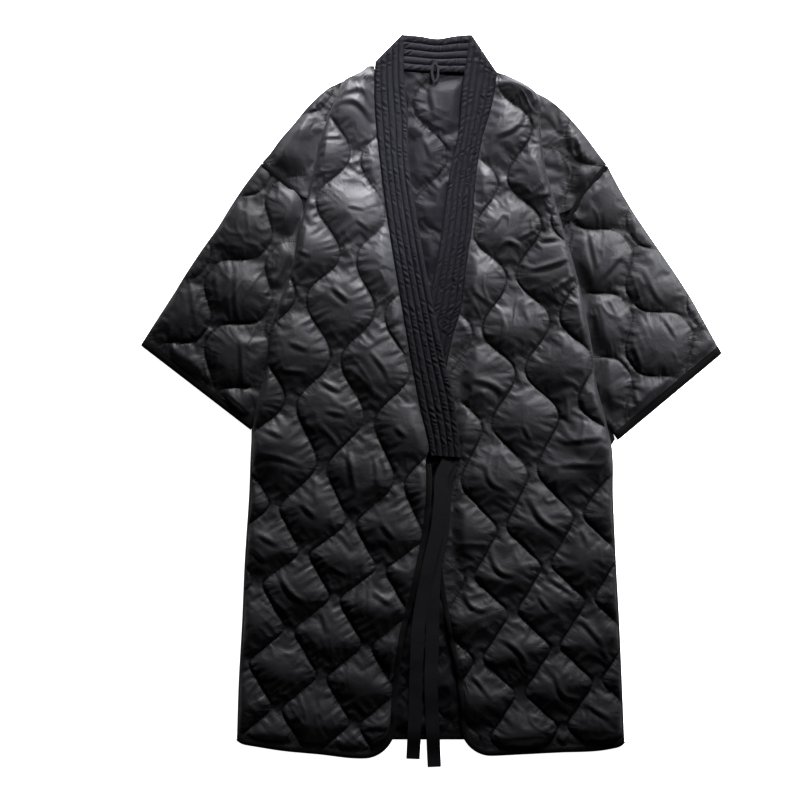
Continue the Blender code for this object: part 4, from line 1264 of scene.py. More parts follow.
@dataclass
class Front:
    """One front panel, from the neckband seam and opening to its folded side."""

    name: str
    opening: list[Edge]
    side: list[Edge]
    hem: list[Spot]
    quilt: Quilting
    sign: int
    upper: float
    rows: int = 372
    columns: int = 94
    fold_steps: int = 6
    lip_steps: int = 6

    @property
    def over_other(self) -> bool:
        """True for the front that lies on top."""
        return self.sign < 0

    def hem_y(self, x: Array) -> Array:
        """Follow the hem, with round corners at the opening and the side.

        Args:
            x: Places along X.

        Returns:
            Y of the cloth's edge there, inside the binding.
        """
        y = curve_value([s.x for s in self.hem], [s.y for s in self.hem], x)
        opening_x = edge_x(self.opening, HEM_LEVEL) + self.sign * EDGE_BINDING
        side_x = edge_x(self.side, HEM_LEVEL)
        for corner_x, radius, inward in (
            (opening_x, OPENING_CORNER, self.sign),
            (side_x, SIDE_CORNER, -self.sign),
        ):
            near = np.clip(radius - (x - corner_x) * inward, 0.0, radius)
            y = y + radius - np.sqrt(np.maximum(radius**2 - near**2, 0.0))
        return y + EDGE_BINDING

    def opening_x(self, y: Array) -> Array:
        """Follow the inner edge: at the band's seam, or inside the binding.

        Args:
            y: Places along Y.

        Returns:
            X of the cloth's edge there.
        """
        bound = 1 - smooth_step(-92.0, -72.0, y)
        inset = CURVED_SEAM_GAP + (EDGE_BINDING - CURVED_SEAM_GAP) * bound
        return edge_x(self.opening, y) + self.sign * inset

    def over_sleeve(self, y: Array) -> Array:
        """Give 1 where the fold lies over the sleeve."""
        return smooth_step(-120.0, -66.0, y) * (
            1 - smooth_step(self.upper - 18, self.upper - 2, y)
        )

    def base(self, x: Array, y: Array) -> Array:
        """Give the height of the wall's middle before the quilting.

        Args:
            x: Places along X.
            y: Places along Y.

        Returns:
            Millimetres above the surface that the coat lies on.
        """
        from_side = np.abs(x - edge_x(self.side, y))
        from_opening = np.abs(x - edge_x(self.opening, y))
        low_middle = ON_BACK + 0.6
        rise = LIP_UNDER + WALL / 2 + FOLD_RADIUS - low_middle
        rest = ON_BACK + WALL / 2
        side_top = low_middle + rise * self.over_sleeve(y) + FOLD_RADIUS
        height = rest + (side_top - rest) * (1 - smooth_step(8.0, 84.0, from_side))
        if self.over_other:
            over_band = smooth_step(-120.0, -80.0, y) * (1 - smooth_step(200.0, 330.0, y))
            over_edge = smooth_step(-420.0, -300.0, y) * (1 - smooth_step(-120.0, -80.0, y))
            raised = over_band * (BAND_OVERLAP - ON_BACK) + over_edge * (EDGE_OVERLAP - ON_BACK)
            height = height + raised * (1 - smooth_step(46.0, 120.0, from_opening))
        return height

    def puffed(self, x: Array, y: Array) -> Array:
        """Give the height of the quilting above the outer side of the wall.

        Args:
            x: Places along X.
            y: Places along Y.

        Returns:
            Millimetres, fading out at the edges and where the other front covers it.
        """
        from_side = np.abs(x - edge_x(self.side, y))
        from_opening = np.abs(x - edge_x(self.opening, y))
        fade = smooth_step(-4.0, 12.0, from_side) * smooth_step(-2.0, 18.0, from_opening)
        fade = np.maximum(fade, 0.2)
        to_hem = smooth_step(0.0, 22.0, y - self.hem_y(x) + 2.0)
        hidden = 1.0
        if not self.over_other:
            under_band = smooth_step(-330.0, -290.0, y) * (1 - smooth_step(60.0, 120.0, y))
            hidden = 1 - under_band * (1 - smooth_step(24.0, 46.0, from_opening))
        return self.quilt.height(x, y, PUFF) * fade * np.maximum(to_hem, 0.2) * hidden

    def top(self, x: Array, y: Array) -> Array:
        """Give the height of the outer side, for what lies on it."""
        return self.base(x, y) + WALL / 2 + self.puffed(x, y)

    def level(self, down: Array) -> Array:
        """Give Y of the rows before the hem bends them."""
        return self.upper + (HEM_LEVEL - self.upper) * down

    def place(self, across: Array, down: Array) -> Array:
        """Give X and Y at shares across and down the panel.

        Args:
            across: Shares from the opening to the fold.
            down: Shares from the shoulder to the hem.

        Returns:
            Points with X and Y last; the last rows bend towards the hem's curve.
        """
        level = self.level(down)
        start = self.opening_x(level)
        end = edge_x(self.side, level) - self.sign * (FOLD_RADIUS + WALL / 2)
        x = start + (end - start) * across
        bend = smooth_step(0.72, 1.0, down)
        return np.stack([x, level + (self.hem_y(x) - HEM_LEVEL) * bend], axis=-1)

    def shell(self, finish: bpy.types.Material) -> Shell:
        """Lay the panel out on its grid.

        Args:
            finish: Its material.

        Returns:
            The panel's wall.
        """
        down = np.linspace(0.0, 1.0, self.rows)
        xy, on_line = snapped_grid(self.quilt, self.place, down, self.columns)
        x, y = xy[..., 0], xy[..., 1]
        z = self.base(x, y)
        more = self.fold_steps + self.lip_steps
        outer = np.zeros((self.rows, self.columns + more, 3))
        inner = outer.copy()
        outer[:, : self.columns] = np.dstack([x, y, z + WALL / 2 + self.puffed(x, y)])
        inner[:, : self.columns] = np.dstack([x, y, z - WALL / 2])
        sewn = np.zeros(outer.shape[:2], bool)
        sewn[:, : self.columns] = on_line
        level = self.level(down)
        turn = math.radians(90.0) * (1.0 + self.over_sleeve(level))
        lip = 1.0 + 23.0 * smooth_step(-60.0, 10.0, level) * (
            1 - smooth_step(self.upper - 70, self.upper - 28, level)
        )
        centre = np.stack([x[:, -1], y[:, -1], z[:, -1] - FOLD_RADIUS], axis=-1)
        for k in range(1, self.fold_steps + 1):
            angle = turn * k / self.fold_steps
            away = np.stack([self.sign * np.sin(angle), 0 * angle, np.cos(angle)], axis=-1)
            outer[:, self.columns - 1 + k] = centre + away * (FOLD_RADIUS + WALL / 2)
            inner[:, self.columns - 1 + k] = centre + away * (FOLD_RADIUS - WALL / 2)
        onward = np.stack([self.sign * np.cos(turn), 0 * turn, -np.sin(turn)], axis=-1)
        last = self.columns + self.fold_steps - 1
        for k in range(1, self.lip_steps + 1):
            step = onward * (lip * k / self.lip_steps)[:, None]
            outer[:, last + k] = outer[:, last] + step
            inner[:, last + k] = inner[:, last] + step
        return Shell(self.name, outer, inner, sewn, "quilted_satin", finish)


def folded_side(side: list[Edge], sign: int, x: Array, y: Array) -> Array:
    """Give how far a point lies outside a front's folded side."""
    return (x - edge_x(side, y)) * sign


@dataclass
class Sleeve:
    """A flattened sleeve, open at the armhole and the cuff."""

    name: str
    whole: dict[str, list[Spot]]
    quilt: Quilting
    front_side: list[Edge]
    sign: int
    rows: int = 118
    columns: int = 96
    beneath: int = 24

    def shell(self, finish: bpy.types.Material) -> Shell:
        """Lay the tube out on its grid.

        Args:
            finish: Its material.

        Returns:
            The sleeve's wall.
        """
        sides = trimmed(self.whole, CUFF_BINDING)
        length = np.linalg.norm(spot_curve(sides["top"], 1.0) - spot_curve(sides["top"], 0.0))
        first = SEAM_SHOWN / length
        run = np.linspace(first, 1.0, self.rows)

        def place(across: Array, along: Array) -> Array:
            """Give X and Y at shares across and along the sleeve."""
            return coons_point(sides, across, along)

        xy, on_line = snapped_grid(self.quilt, place, run, self.columns)
        x, y = xy[..., 0], xy[..., 1]
        around = self.columns + self.beneath
        outer = np.zeros((self.rows, around + 1, 3))
        inner = outer.copy()
        sewn = np.zeros(outer.shape[:2], bool)
        sewn[:, : self.columns] = on_line
        edge = np.sin(np.linspace(0, math.pi, self.columns)) ** 0.35
        rim = np.minimum(1.0, np.sin(np.linspace(0, math.pi, self.columns)) * 9.0)
        level = (SLEEVE_CEILING + WALL) * (0.45 + 0.55 * np.sqrt(rim))
        shown = smooth_step(1.0, 24.0, folded_side(self.front_side, self.sign, x, y))
        ends = smooth_step(-0.02, 0.05, run - first) * np.maximum(
            smooth_step(0.0, 0.06, 1.0 - run), 0.15)
        relief = self.quilt.height(x, y, PUFF) * shown * edge * ends[:, None]
        outer[:, : self.columns] = np.dstack([x, y, level + relief])
        back = np.linspace(0.985, 0.015, self.beneath)
        shares, rows = np.meshgrid(back, run)
        outer[:, self.columns : around, :2] = coons_point(sides, shares, rows)
        even = np.linspace(0.0, 1.0, self.columns)
        shares, rows = np.meshgrid(0.06 + 0.88 * np.concatenate([even, back]), run)
        inner[:, :around, :2] = coons_point(sides, shares, rows)
        inner[:, : self.columns, 2] = SLEEVE_CEILING
        inner[:, self.columns : around, 2] = BACK_TOP
        outer[:, around], inner[:, around] = outer[:, 0], inner[:, 0]
        return Shell(self.name, outer, inner, sewn, "quilted_satin", finish, ring=True)


@dataclass
class Shoulder:
    """The drop shoulder between the front's fold and the armhole."""

    name: str
    sides: dict[str, list[Spot]]
    quilt: Quilting
    front_side: list[Edge]
    sign: int
    valley: float
    dome: float
    rows: int = 70
    columns: int = 44

    def shell(self, finish: bpy.types.Material) -> Shell:
        """Lay the patch out on its grid.

        Args:
            finish: Its material.

        Returns:
            The shoulder's wall.
        """
        length = np.linalg.norm(spot_curve(self.sides["top"], 1.0)
                                - spot_curve(self.sides["top"], 0.0))
        last = 1.0 - SEAM_SHOWN / length
        run = np.linspace(0.0, last, self.rows)

        def place(across: Array, along: Array) -> Array:
            """Give X and Y at shares across and along the shoulder."""
            return coons_point(self.sides, across, along)

        xy, on_line = snapped_grid(self.quilt, place, run, self.columns)
        x, y = xy[..., 0], xy[..., 1]
        rounded = smooth_step(0.0, 0.2, np.linspace(0, 1, self.columns))[None, :]
        beside = folded_side(self.front_side, self.sign, x, y)
        shown = smooth_step(self.valley - 34.0, self.valley, beside)
        to_seam = smooth_step(-0.02, 0.16, last - run)[:, None]
        relief = self.quilt.height(x, y, PUFF) + self.dome
        relief = relief * shown * rounded * to_seam
        outer = np.dstack([x, y, ON_BACK + WALL - 0.6 + 0.6 * rounded + relief])
        inner = outer.copy()
        inner[..., 2] = ON_BACK - 0.3
        return Shell(self.name, outer, inner, on_line, "quilted_satin", finish)


@dataclass
class BackPanel:
    """The back, flat beneath, with quilting where its inside shows."""

    name: str = "back_cloth"
    shown_step: float = 3.0
    hidden_step: float = 9.0
    shown_columns: int = 64
    side_columns: int = 14

    @staticmethod
    def outline(sign: int) -> Array:
        """Follow one side, just inside the sleeve that it is sewn to.

        Args:
            sign: -1 for the wearer's right side, 1 for the left one.

        Returns:
            X and Y down that side.
        """
        shoulder = BACK_RIGHT_SHOULDER if sign < 0 else BACK_LEFT_SHOULDER
        seam = BACK_RIGHT_SEAM if sign < 0 else BACK_LEFT_SEAM
        sleeve = RIGHT_SLEEVE if sign < 0 else LEFT_SLEEVE
        inward = np.array([-sign * SEAM_SHOWN, 0.0])
        armhole = spot_curve(sleeve["armhole"], np.linspace(0.02, 1.0, 30)) + inward
        under = spot_curve(sleeve["under"], np.linspace(0.06, 0.98, 12)) + inward
        return np.concatenate([
            np.array([(e.x, e.y) for e in shoulder]), armhole, under,
            np.array([(e.x, e.y) for e in seam]),
        ])

    @staticmethod
    def clear(x: Array, y: Array) -> Array:
        """Tell where neither the neckband nor a front lies over the back's inside.

        Args:
            x: Places along X.
            y: Places along Y.

        Returns:
            1 where the inside is clear, falling to 0 under the cloth beside it.
        """
        edges = []
        for band, opening in ((RIGHT_BAND, RIGHT_OPENING), (LEFT_BAND, LEFT_OPENING)):
            along_band = np.interp(y, [s.inner_y for s in band[::-1]],
                                   [s.inner_x for s in band[::-1]])
            edges.append(np.where(y < -200, edge_x(opening, y), along_band))
        return smooth_step(-4.0, 14.0, x - edges[0]) * smooth_step(-4.0, 14.0, edges[1] - x)

    def top(self, x: Array, y: Array) -> Array:
        """Give the height of the back's inside, puffed where it shows.

        Args:
            x: Places along X.
            y: Places along Y.

        Returns:
            Millimetres above the surface that the coat lies on.
        """
        ends = smooth_step(BACK_HEM, -480, y) * (1 - smooth_step(462, 484, y))
        covered = 1 - smooth_step(-300, -262, y) * (1 - smooth_step(110, 160, y))
        relief = BACK_QUILT.height(x, y, BACK_PUFF)
        return BACK_TOP + relief * ends * covered * self.clear(x, y)

    def shell(self, finish: bpy.types.Material) -> Shell:
        """Lay the panel out on its grid.

        Args:
            finish: Its material.

        Returns:
            The panel's wall.
        """
        neck = np.arange(496.0, 130.0, -self.shown_step)
        hidden = np.arange(130.0, -262.0, -self.hidden_step)
        skirt = np.linspace(-262.0, BACK_HEM, int((-262.0 - BACK_HEM) / self.shown_step))
        levels = np.concatenate([neck, hidden, skirt])
        right_side, left_side = self.outline(-1), self.outline(1)
        low = np.interp(levels, right_side[::-1, 1], right_side[::-1, 0])
        high = np.interp(levels, left_side[::-1, 1], left_side[::-1, 0])
        near_right = np.maximum(np.minimum(edge_x(RIGHT_OPENING, levels) - 8.0, -30.0), low + 6.0)
        near_left = np.minimum(np.maximum(edge_x(LEFT_OPENING, levels) + 8.0, 30.0), high - 6.0)

        def place(across: Array, down: Array) -> Array:
            """Give X and Y of the middle part.

            Args:
                across: Shares from its right edge to its left one.
                down: Numbers of the rows.

            Returns:
                Points with X and Y last.
            """
            start = np.interp(down, np.arange(len(levels)), near_right)
            end = np.interp(down, np.arange(len(levels)), near_left)
            y = np.interp(down, np.arange(len(levels)), levels)
            return np.stack([start + (end - start) * across, y], axis=-1)

        numbers = np.arange(len(levels), dtype=float)
        middle, on_line = snapped_grid(BACK_QUILT, place, numbers, self.shown_columns)
        shares = np.linspace(0.0, 1.0, self.side_columns)
        to_right = low[:, None] + (near_right - low)[:, None] * shares[None, :-1]
        to_left = near_left[:, None] + (high - near_left)[:, None] * shares[None, 1:]
        x = np.concatenate([to_right, middle[..., 0], to_left], axis=1)
        y = np.repeat(levels[:, None], x.shape[1], axis=1)
        outer = np.dstack([x, y, self.top(x, y)])
        inner = outer.copy()
        inner[..., 2] = 0.0
        beside = np.zeros((len(levels), self.side_columns - 1), bool)
        sewn = np.concatenate([beside, on_line, beside], axis=1)
        return Shell(self.name, outer, inner, sewn, "quilted_satin", finish)


@dataclass
class Band:
    """A stretch of neckband with stitched channels along it."""

    name: str
    stations: list[Station]
    opening: list[Edge] | None
    rows: int
    seed: int
    per_channel: int = 8

    def shell(self, finish: bpy.types.Material) -> Shell:
        """Lay the stretch out on its grid.

        Args:
            finish: Its material.

        Returns:
            The stretch's wall.
        """
        stations = self.stations
        outer_edge = np.array([(s.outer_x, s.outer_y) for s in stations], float)
        inner_edge = np.array([(s.inner_x, s.inner_y) for s in stations], float)
        middle = (outer_edge + inner_edge) / 2
        steps = np.linalg.norm(np.diff(middle, axis=0), axis=1)
        run = np.concatenate([[0.0], np.cumsum(steps)])
        at = np.linspace(0.0, run[-1], self.rows)
        far = np.stack([curve_value(run, outer_edge[:, k], at) for k in (0, 1)], axis=-1)
        near = np.stack([curve_value(run, inner_edge[:, k], at) for k in (0, 1)], axis=-1)
        lift = curve_value(run, [s.lift for s in stations], at)
        if self.opening:
            far[:, 0] = edge_x(self.opening, far[:, 1])
        count = BAND_CHANNELS * self.per_channel + 1
        shares = np.linspace(0.0, 1.0, count)
        place = np.abs(np.sin(shares * BAND_CHANNELS * math.pi))
        ridge = BAND_RIDGE * place**0.6
        xy = far[:, None, :] + (near - far)[:, None, :] * shares[None, :, None]
        shown = np.ones((self.rows, 1))
        if not self.opening:
            shown = (smooth_step(-42, -30, near[:, 0]) * (1 - smooth_step(46, 58, near[:, 0])))
            shown = shown[:, None]
        along = np.broadcast_to(at[:, None], (self.rows, count))
        across = np.broadcast_to((shares * BAND_WIDTH)[None, :], (self.rows, count))
        channel = np.broadcast_to(np.floor(shares * BAND_CHANNELS * 0.9999)[None, :],
                                  (self.rows, count))
        slant = along - across * np.where(channel % 2 == 0, 0.75, 0.6)
        phase = slant + 9.0 * soft_noise(along, channel * 37.0 + 5.0, 10.0, self.seed)
        uneven = 0.6 + 0.8 * soft_noise(along, across, 9.0, 2)
        twist = np.sin(phase * math.tau / TWIST_PITCH) * uneven
        pucker = twist * place[None, :] ** 0.5
        height = (ridge[None, :] + pucker + 0.3 * soft_noise(along, across, 21.0, self.seed)
                  * place[None, :])
        top = lift[:, None] + WALL + height * shown
        under = np.repeat(lift[:, None], count, axis=1)
        if self.opening:
            start = smooth_step(0.0, 6.0, at)[:, None]
            top = lift[:, None] + 1.2 + (top - lift[:, None] - 1.2) * start
        outer = np.dstack([xy, top])
        inner = np.dstack([xy, under])
        sewn = np.zeros(outer.shape[:2], bool)
        return Shell(self.name, outer, inner, sewn, "neckband_satin", finish)


def strip_shell(
    name: str, path: Array, half: float, under: Array, thick: float, slot: str,
    finish: bpy.types.Material, crown: float = 0.0, across: int = 7,
) -> Shell:
    """Lay a flat strip out along a path.

    Args:
        name: The piece's name.
        path: X and Y along its middle.
        half: Half its width.
        under: Height of its underside along the path.
        thick: Its thickness.
        slot: The record's material slot.
        finish: Its material.
        crown: How much its middle stands above its edges.
        across: Points across it.

    Returns:
        The strip's wall.
    """
    ahead = np.gradient(path, axis=0)
    ahead /= np.linalg.norm(ahead, axis=1, keepdims=True)
    side = np.stack([-ahead[:, 1], ahead[:, 0]], axis=-1)
    shares = np.linspace(-1.0, 1.0, across)
    xy = path[:, None, :] + side[:, None, :] * shares[None, :, None] * half
    low = np.repeat(np.asarray(under, float)[:, None], across, axis=1)
    high = low + thick + crown * (1 - shares**2)[None, :]
    sewn = np.zeros(low.shape, bool)
    return Shell(name, np.dstack([xy, high]), np.dstack([xy, low]), sewn, slot, finish)


def binding_shell(
    name: str, edge: Array, outward: Array, under: Array, top: Array,
    finish: bpy.types.Material, seed: int,
) -> Shell:
    """Lay a rounded binding out along an edge, just outside the cloth.

    Args:
        name: The piece's name.
        edge: X and Y along the cloth's edge.
        outward: Unit directions away from the cloth.
        under: Height of its underside along the edge.
        top: Height of its top along the edge.
        finish: Its material.
        seed: Which unevenness it gets.

    Returns:
        The binding's wall.
    """
    shares = np.linspace(0.0, 1.0, 9)
    reach = -BINDING_OVERLAP + (EDGE_BINDING + BINDING_OVERLAP) * shares
    rise = 0.62 + 0.42 * np.sin(np.linspace(0.22, 1.0, 9) * math.pi) ** 0.7
    rise[-1] = 0.42
    xy = edge[:, None, :] + outward[:, None, :] * reach[None, :, None]
    steps = np.linalg.norm(np.diff(edge, axis=0), axis=1)
    run = np.concatenate([[0.0], np.cumsum(steps)])
    uneven = 0.28 * soft_noise(run, run * 0.0, 13.0, seed) + 0.16 * soft_noise(
        run, run * 0.0 + 50.0, 5.0, seed)
    high = under[:, None] + (top - under)[:, None] * rise[None, :] + (
        uneven[:, None] * np.sin(shares * math.pi)[None, :])
    outer = np.dstack([xy, high])
    inner = np.dstack([xy, np.repeat(under[:, None], len(shares), axis=1)])
    sewn = np.zeros(high.shape, bool)
    return Shell(name, outer, inner, sewn, "twill_binding", finish)


def outward_normals(edge: Array, sign: int) -> Array:
    """Give the directions square to a chain of points.

    Args:
        edge: X and Y along the chain.
        sign: 1 for its left side, -1 for its right one.

    Returns:
        A unit direction for each point.
    """
    ahead = np.gradient(edge, axis=0)
    ahead /= np.linalg.norm(ahead, axis=1, keepdims=True)
    return np.stack([-ahead[:, 1], ahead[:, 0]], axis=-1) * sign


def edge_binding(name: str, front: Front, panel: Shell, finish: bpy.types.Material) -> Shell:
    """Bind a front's opening and hem.

    Args:
        name: The piece's name.
        front: The front.
        panel: Its wall.
        finish: The binding's material.

    Returns:
        The binding's wall.
    """
    outer, inner = panel.outer, panel.inner
    first = int(np.argmin(np.abs(outer[:, 0, 1] + 96.0)))
    down = [(outer[i, 0], inner[i, 0]) for i in range(first, len(outer) - 1)]
    round_fold = front.columns + front.fold_steps
    along = [(outer[-1, j], inner[-1, j]) for j in range(0, round_fold)]
    chain = down + along
    edge = np.array([pair[0][:2] for pair in chain])
    top = np.array([pair[0][2] for pair in chain]) + 1.2
    under = np.array([pair[1][2] for pair in chain])
    under = np.minimum(under, top - 2.6)
    kernel = np.ones(5) / 5
    top = np.convolve(np.pad(top, 2, mode="edge"), kernel, mode="valid")
    outward = outward_normals(edge, -front.sign)
    return binding_shell(name, edge, outward, under, top, finish, 11)


def cuff_shell(name: str, sides: dict[str, list[Spot]], finish: bpy.types.Material) -> Shell:
    """Lay out the flattened ring round the end of a sleeve.

    Args:
        name: The piece's name.
        sides: The sleeve's four edges.
        finish: The binding's material.

    Returns:
        The ring's wall.
    """
    across, over_count, under_count = 9, 90, 30
    high = SLEEVE_CEILING + WALL + 0.8
    outer = np.zeros((across, over_count + under_count + 1, 3))
    inner = outer.copy()
    shares = np.linspace(0.0, 1.0, over_count)
    back = np.linspace(0.985, 0.015, under_count)
    rim = np.minimum(1.0, np.sin(shares * math.pi) * 9.0)
    for i, share in enumerate(np.linspace(0.0, 1.0, across)):
        cut = trimmed(sides, (CUFF_BINDING + BINDING_OVERLAP) * (1 - share))["cuff"]
        round_off = 1.0 - 0.4 * abs(share - 0.45) ** 3 * 6
        uneven = 0.25 * soft_noise(shares * 208.0, shares * 0.0 + i, 11.0, 12)
        level = high * (0.45 + 0.55 * np.sqrt(rim)) * round_off + uneven * rim
        outer[i, :over_count, :2] = spot_curve(cut, shares)
        outer[i, :over_count, 2] = level
        outer[i, over_count:-1, :2] = spot_curve(cut, back)
        inner[i, :-1, :2] = spot_curve(cut, 0.04 + 0.92 * np.concatenate([shares, back]))
        inner[i, :over_count, 2] = SLEEVE_CEILING
        inner[i, over_count:-1, 2] = BACK_TOP
    outer[:, -1], inner[:, -1] = outer[:, 0], inner[:, 0]
    sewn = np.zeros(outer.shape[:2], bool)
    return Shell(name, outer, inner, sewn, "twill_binding", finish, ring=True)


@dataclass
class Tie:
    """A flat ribbon that hangs from the end of the band over the other front."""

    name: str
    spots: list[Spot]
    bed: Place
    apart: float
    rows: int = 150

    def shell(self, finish: bpy.types.Material) -> Shell:
        """Lay the ribbon out along its way.

        Args:
            finish: Its material.

        Returns:
            The ribbon's wall.
        """
        path = spot_curve(self.spots, np.linspace(0.0, 1.0, self.rows))
        reach = TIE_WIDTH / 2 + 1.0
        sideways = np.linspace(-reach, reach, 7)
        bed = self.bed(path[:, :1] + sideways[None, :], path[:, 1:] + 0 * sideways[None, :])
        bed = bed.max(axis=1)
        wide = 7
        bed = np.array([bed[max(i - wide, 0) : i + wide + 1].max() for i in range(len(bed))])
        kernel = np.hanning(2 * wide + 1)
        bed = np.convolve(np.pad(bed, wide, mode="edge"), kernel / kernel.sum(), mode="valid")
        apart = self.apart * smooth_step(-470.0, -410.0, path[:, 1])
        under = bed + TIE_CLEAR + apart
        return strip_shell(
            self.name, path, TIE_WIDTH / 2, under, TIE_THICK, "grosgrain_ribbon", finish,
        )


def loop_shell(finish: bpy.types.Material) -> Shell:
    """Lay out the hanger loop, a narrow tape bent to an oval.

    Args:
        finish: Its material.

    Returns:
        The loop's wall.
    """
    count, half_width, half_length, strand = 64, 6.5, 15.0, 4.0
    angle = np.linspace(0.0, math.tau, count + 1)
    bent = np.sign(np.cos(angle)) * np.abs(np.cos(angle)) ** 0.8
    outer = np.zeros((5, count + 1, 3))
    for i, share in enumerate(np.linspace(0.0, 1.0, 5)):
        outer[i, :, 0] = HANGER_LOOP.x + np.sin(angle) * (half_width - strand * share)
        outer[i, :, 1] = HANGER_LOOP.y + bent * (half_length - strand * share)
        outer[i, :, 2] = LOOP_TOP + 0.3 * math.sin(share * math.pi)
    outer[:, -1] = outer[:, 0]
    inner = outer.copy()
    inner[..., 2] = LOOP_UNDER
    sewn = np.zeros(outer.shape[:2], bool)
    return Shell("hanger_loop_tape", outer, inner, sewn, "grosgrain_ribbon", finish, ring=True)


class Coat:
    """The whole coat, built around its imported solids."""

    def __init__(self) -> None:
        """Make the finishes and lay out every wall."""
        satin, band = SATIN.material(), BAND_SATIN.material()
        twill, ribbon = TWILL.material(), GROSGRAIN.material()
        self.right = Front("front_right_cloth", RIGHT_OPENING, RIGHT_SIDE, RIGHT_HEM,
                           RIGHT_QUILT, -1, RIGHT_UPPER)
        self.left = Front("front_left_cloth", LEFT_OPENING, LEFT_SIDE, LEFT_HEM,
                          LEFT_QUILT, 1, LEFT_UPPER)
        self.back = BackPanel()
        self.quilts = {"front_right": RIGHT_QUILT, "front_left": LEFT_QUILT,
                       "sleeve_right": RIGHT_ARM_QUILT, "shoulder_right": RIGHT_ARM_QUILT,
                       "sleeve_left": LEFT_ARM_QUILT, "shoulder_left": LEFT_ARM_QUILT,
                       "back_panel": BACK_QUILT}
        self.quilted = {
            "front_right": self.right.shell(satin),
            "front_left": self.left.shell(satin),
            "sleeve_right": Sleeve("sleeve_right_cloth", RIGHT_SLEEVE, RIGHT_ARM_QUILT,
                                   RIGHT_SIDE, -1).shell(satin),
            "sleeve_left": Sleeve("sleeve_left_cloth", LEFT_SLEEVE, LEFT_ARM_QUILT,
                                  LEFT_SIDE, 1).shell(satin),
            "shoulder_right": Shoulder("shoulder_right_cloth", RIGHT_SHOULDER,
                                       RIGHT_ARM_QUILT, RIGHT_SIDE, -1, 36.0,
                                       1.0).shell(satin),
            "shoulder_left": Shoulder("shoulder_left_cloth", LEFT_SHOULDER,
                                      LEFT_ARM_QUILT, LEFT_SIDE, 1, 58.0,
                                      5.0).shell(satin),
            # The back's inside gets the satin darkened as painted shade
            "back_panel": self.back.shell(PAINTED_SHADE_SATIN.material()),
        }
        for node, shell in self.quilted.items():
            shell.seam = self.quilts[node].nearest(shell.outer[..., 0], shell.outer[..., 1])
        self.trims = {
            "neckband_back": Band("neckband_back_cloth", BACK_BAND, None, 90, 21).shell(band),
            "neckband_left": Band("neckband_left_cloth", LEFT_BAND, LEFT_OPENING, 290,
                                  22).shell(band),
            "neckband_right": Band("neckband_right_cloth", RIGHT_BAND, RIGHT_OPENING, 290,
                                   23).shell(band),
            "edge_binding_right": edge_binding("edge_binding_right_tape", self.right,
                                               self.quilted["front_right"], twill),
            "edge_binding_left": edge_binding("edge_binding_left_tape", self.left,
                                              self.quilted["front_left"], twill),
            "hem_binding_back": self.hem_binding(twill),
            "cuff_binding_right": cuff_shell("cuff_binding_right_tape", RIGHT_SLEEVE, twill),
            "cuff_binding_left": cuff_shell("cuff_binding_left_tape", LEFT_SLEEVE, twill),
            "armhole_binding_right": self.armhole("armhole_binding_right_tape", RIGHT_SLEEVE,
                                                  (0.01, 0.22), twill),
            "armhole_binding_left": self.armhole("armhole_binding_left_tape", LEFT_SLEEVE,
                                                 (0.01, 0.36), twill),
            "tie_left": Tie("tie_left_ribbon", LEFT_TIE, self.bed, 0.0).shell(ribbon),
            "tie_right": Tie("tie_right_ribbon", RIGHT_TIE, self.bed, 2.4).shell(ribbon),
            "hanger_loop": loop_shell(ribbon),
        }

    def bed(self, x: Array, y: Array) -> Array:
        """Give the height of what lies under a tie.

        Args:
            x: Places along X.
            y: Places along Y.

        Returns:
            The height at each place.
        """
        edge = edge_x(self.left.opening, y)
        inner = edge + EDGE_BINDING
        on_front = self.left.top(np.maximum(x, inner), y)
        on_binding = self.left.top(inner, y) + 1.4
        height = np.where(x > inner, on_front, np.where(x > edge - 2.0, on_binding,
                                                        self.back.top(x, y)))
        return np.where(y < HEM_LEVEL, 0.0, height)

    @staticmethod
    def hem_binding(finish: bpy.types.Material) -> Shell:
        """Lay out the binding of the back's hem.

        Args:
            finish: Its material.

        Returns:
            The binding's wall.
        """
        xs = np.linspace(-282.0, 281.0, 240)
        edge = np.stack([xs, np.full_like(xs, BACK_HEM)], axis=-1)
        outward = np.tile([0.0, -1.0], (len(xs), 1))
        return binding_shell("hem_binding_back_tape", edge, outward, np.zeros(len(xs)),
                             np.full(len(xs), 2.3), finish, 13)

    @staticmethod
    def armhole(
        name: str, sides: dict[str, list[Spot]], shares: tuple[float, float],
        finish: bpy.types.Material,
    ) -> Shell:
        """Lay out the bound strip over an armhole seam.

        Args:
            name: The piece's name.
            sides: The sleeve's four edges.
            shares: Where along the armhole the strip starts and ends.
            finish: Its material.

        Returns:
            The strip's wall.
        """
        path = spot_curve(sides["armhole"], np.linspace(shares[0], shares[1], 40))
        under = ARMHOLE_UNDER - 1.2 * (1 - smooth_step(0.0, 0.2, np.linspace(0, 1, 40)))
        return strip_shell(name, path, ARMHOLE_BINDING / 2, under, 1.0, "twill_binding",
                           finish, crown=0.8, across=9)

    def simulate(self, rules: Drape) -> None:
        """Let the spare cloth between the pinned stitch lines pucker.

        Args:
            rules: How the cloth behaves.
        """
        for node, shell in self.quilted.items():
            held = shell.sewn.astype(float)
            held[[0, -1]] = 1.0
            shown = held.shape[1]
            if shell.ring:
                shown = Sleeve.columns
            elif node.startswith("front"):
                shown = Front.columns
            held[:, 0] = 1.0
            held[:, shown - 1 :] = 1.0
            if node == "back_panel":
                held[:, : BackPanel.side_columns] = 1.0
                held[:, -BackPanel.side_columns :] = 1.0
            shell.pin(held, 1 - smooth_step(2.0, 15.0, shell.seam[..., 1]), rules)
        scene = bpy.context.scene
        for number in range(1, rules.frames + 1):
            scene.frame_set(number)
        for shell in self.quilted.values():
            shell.settle(rules.farthest_mm)
        scene.frame_set(1)

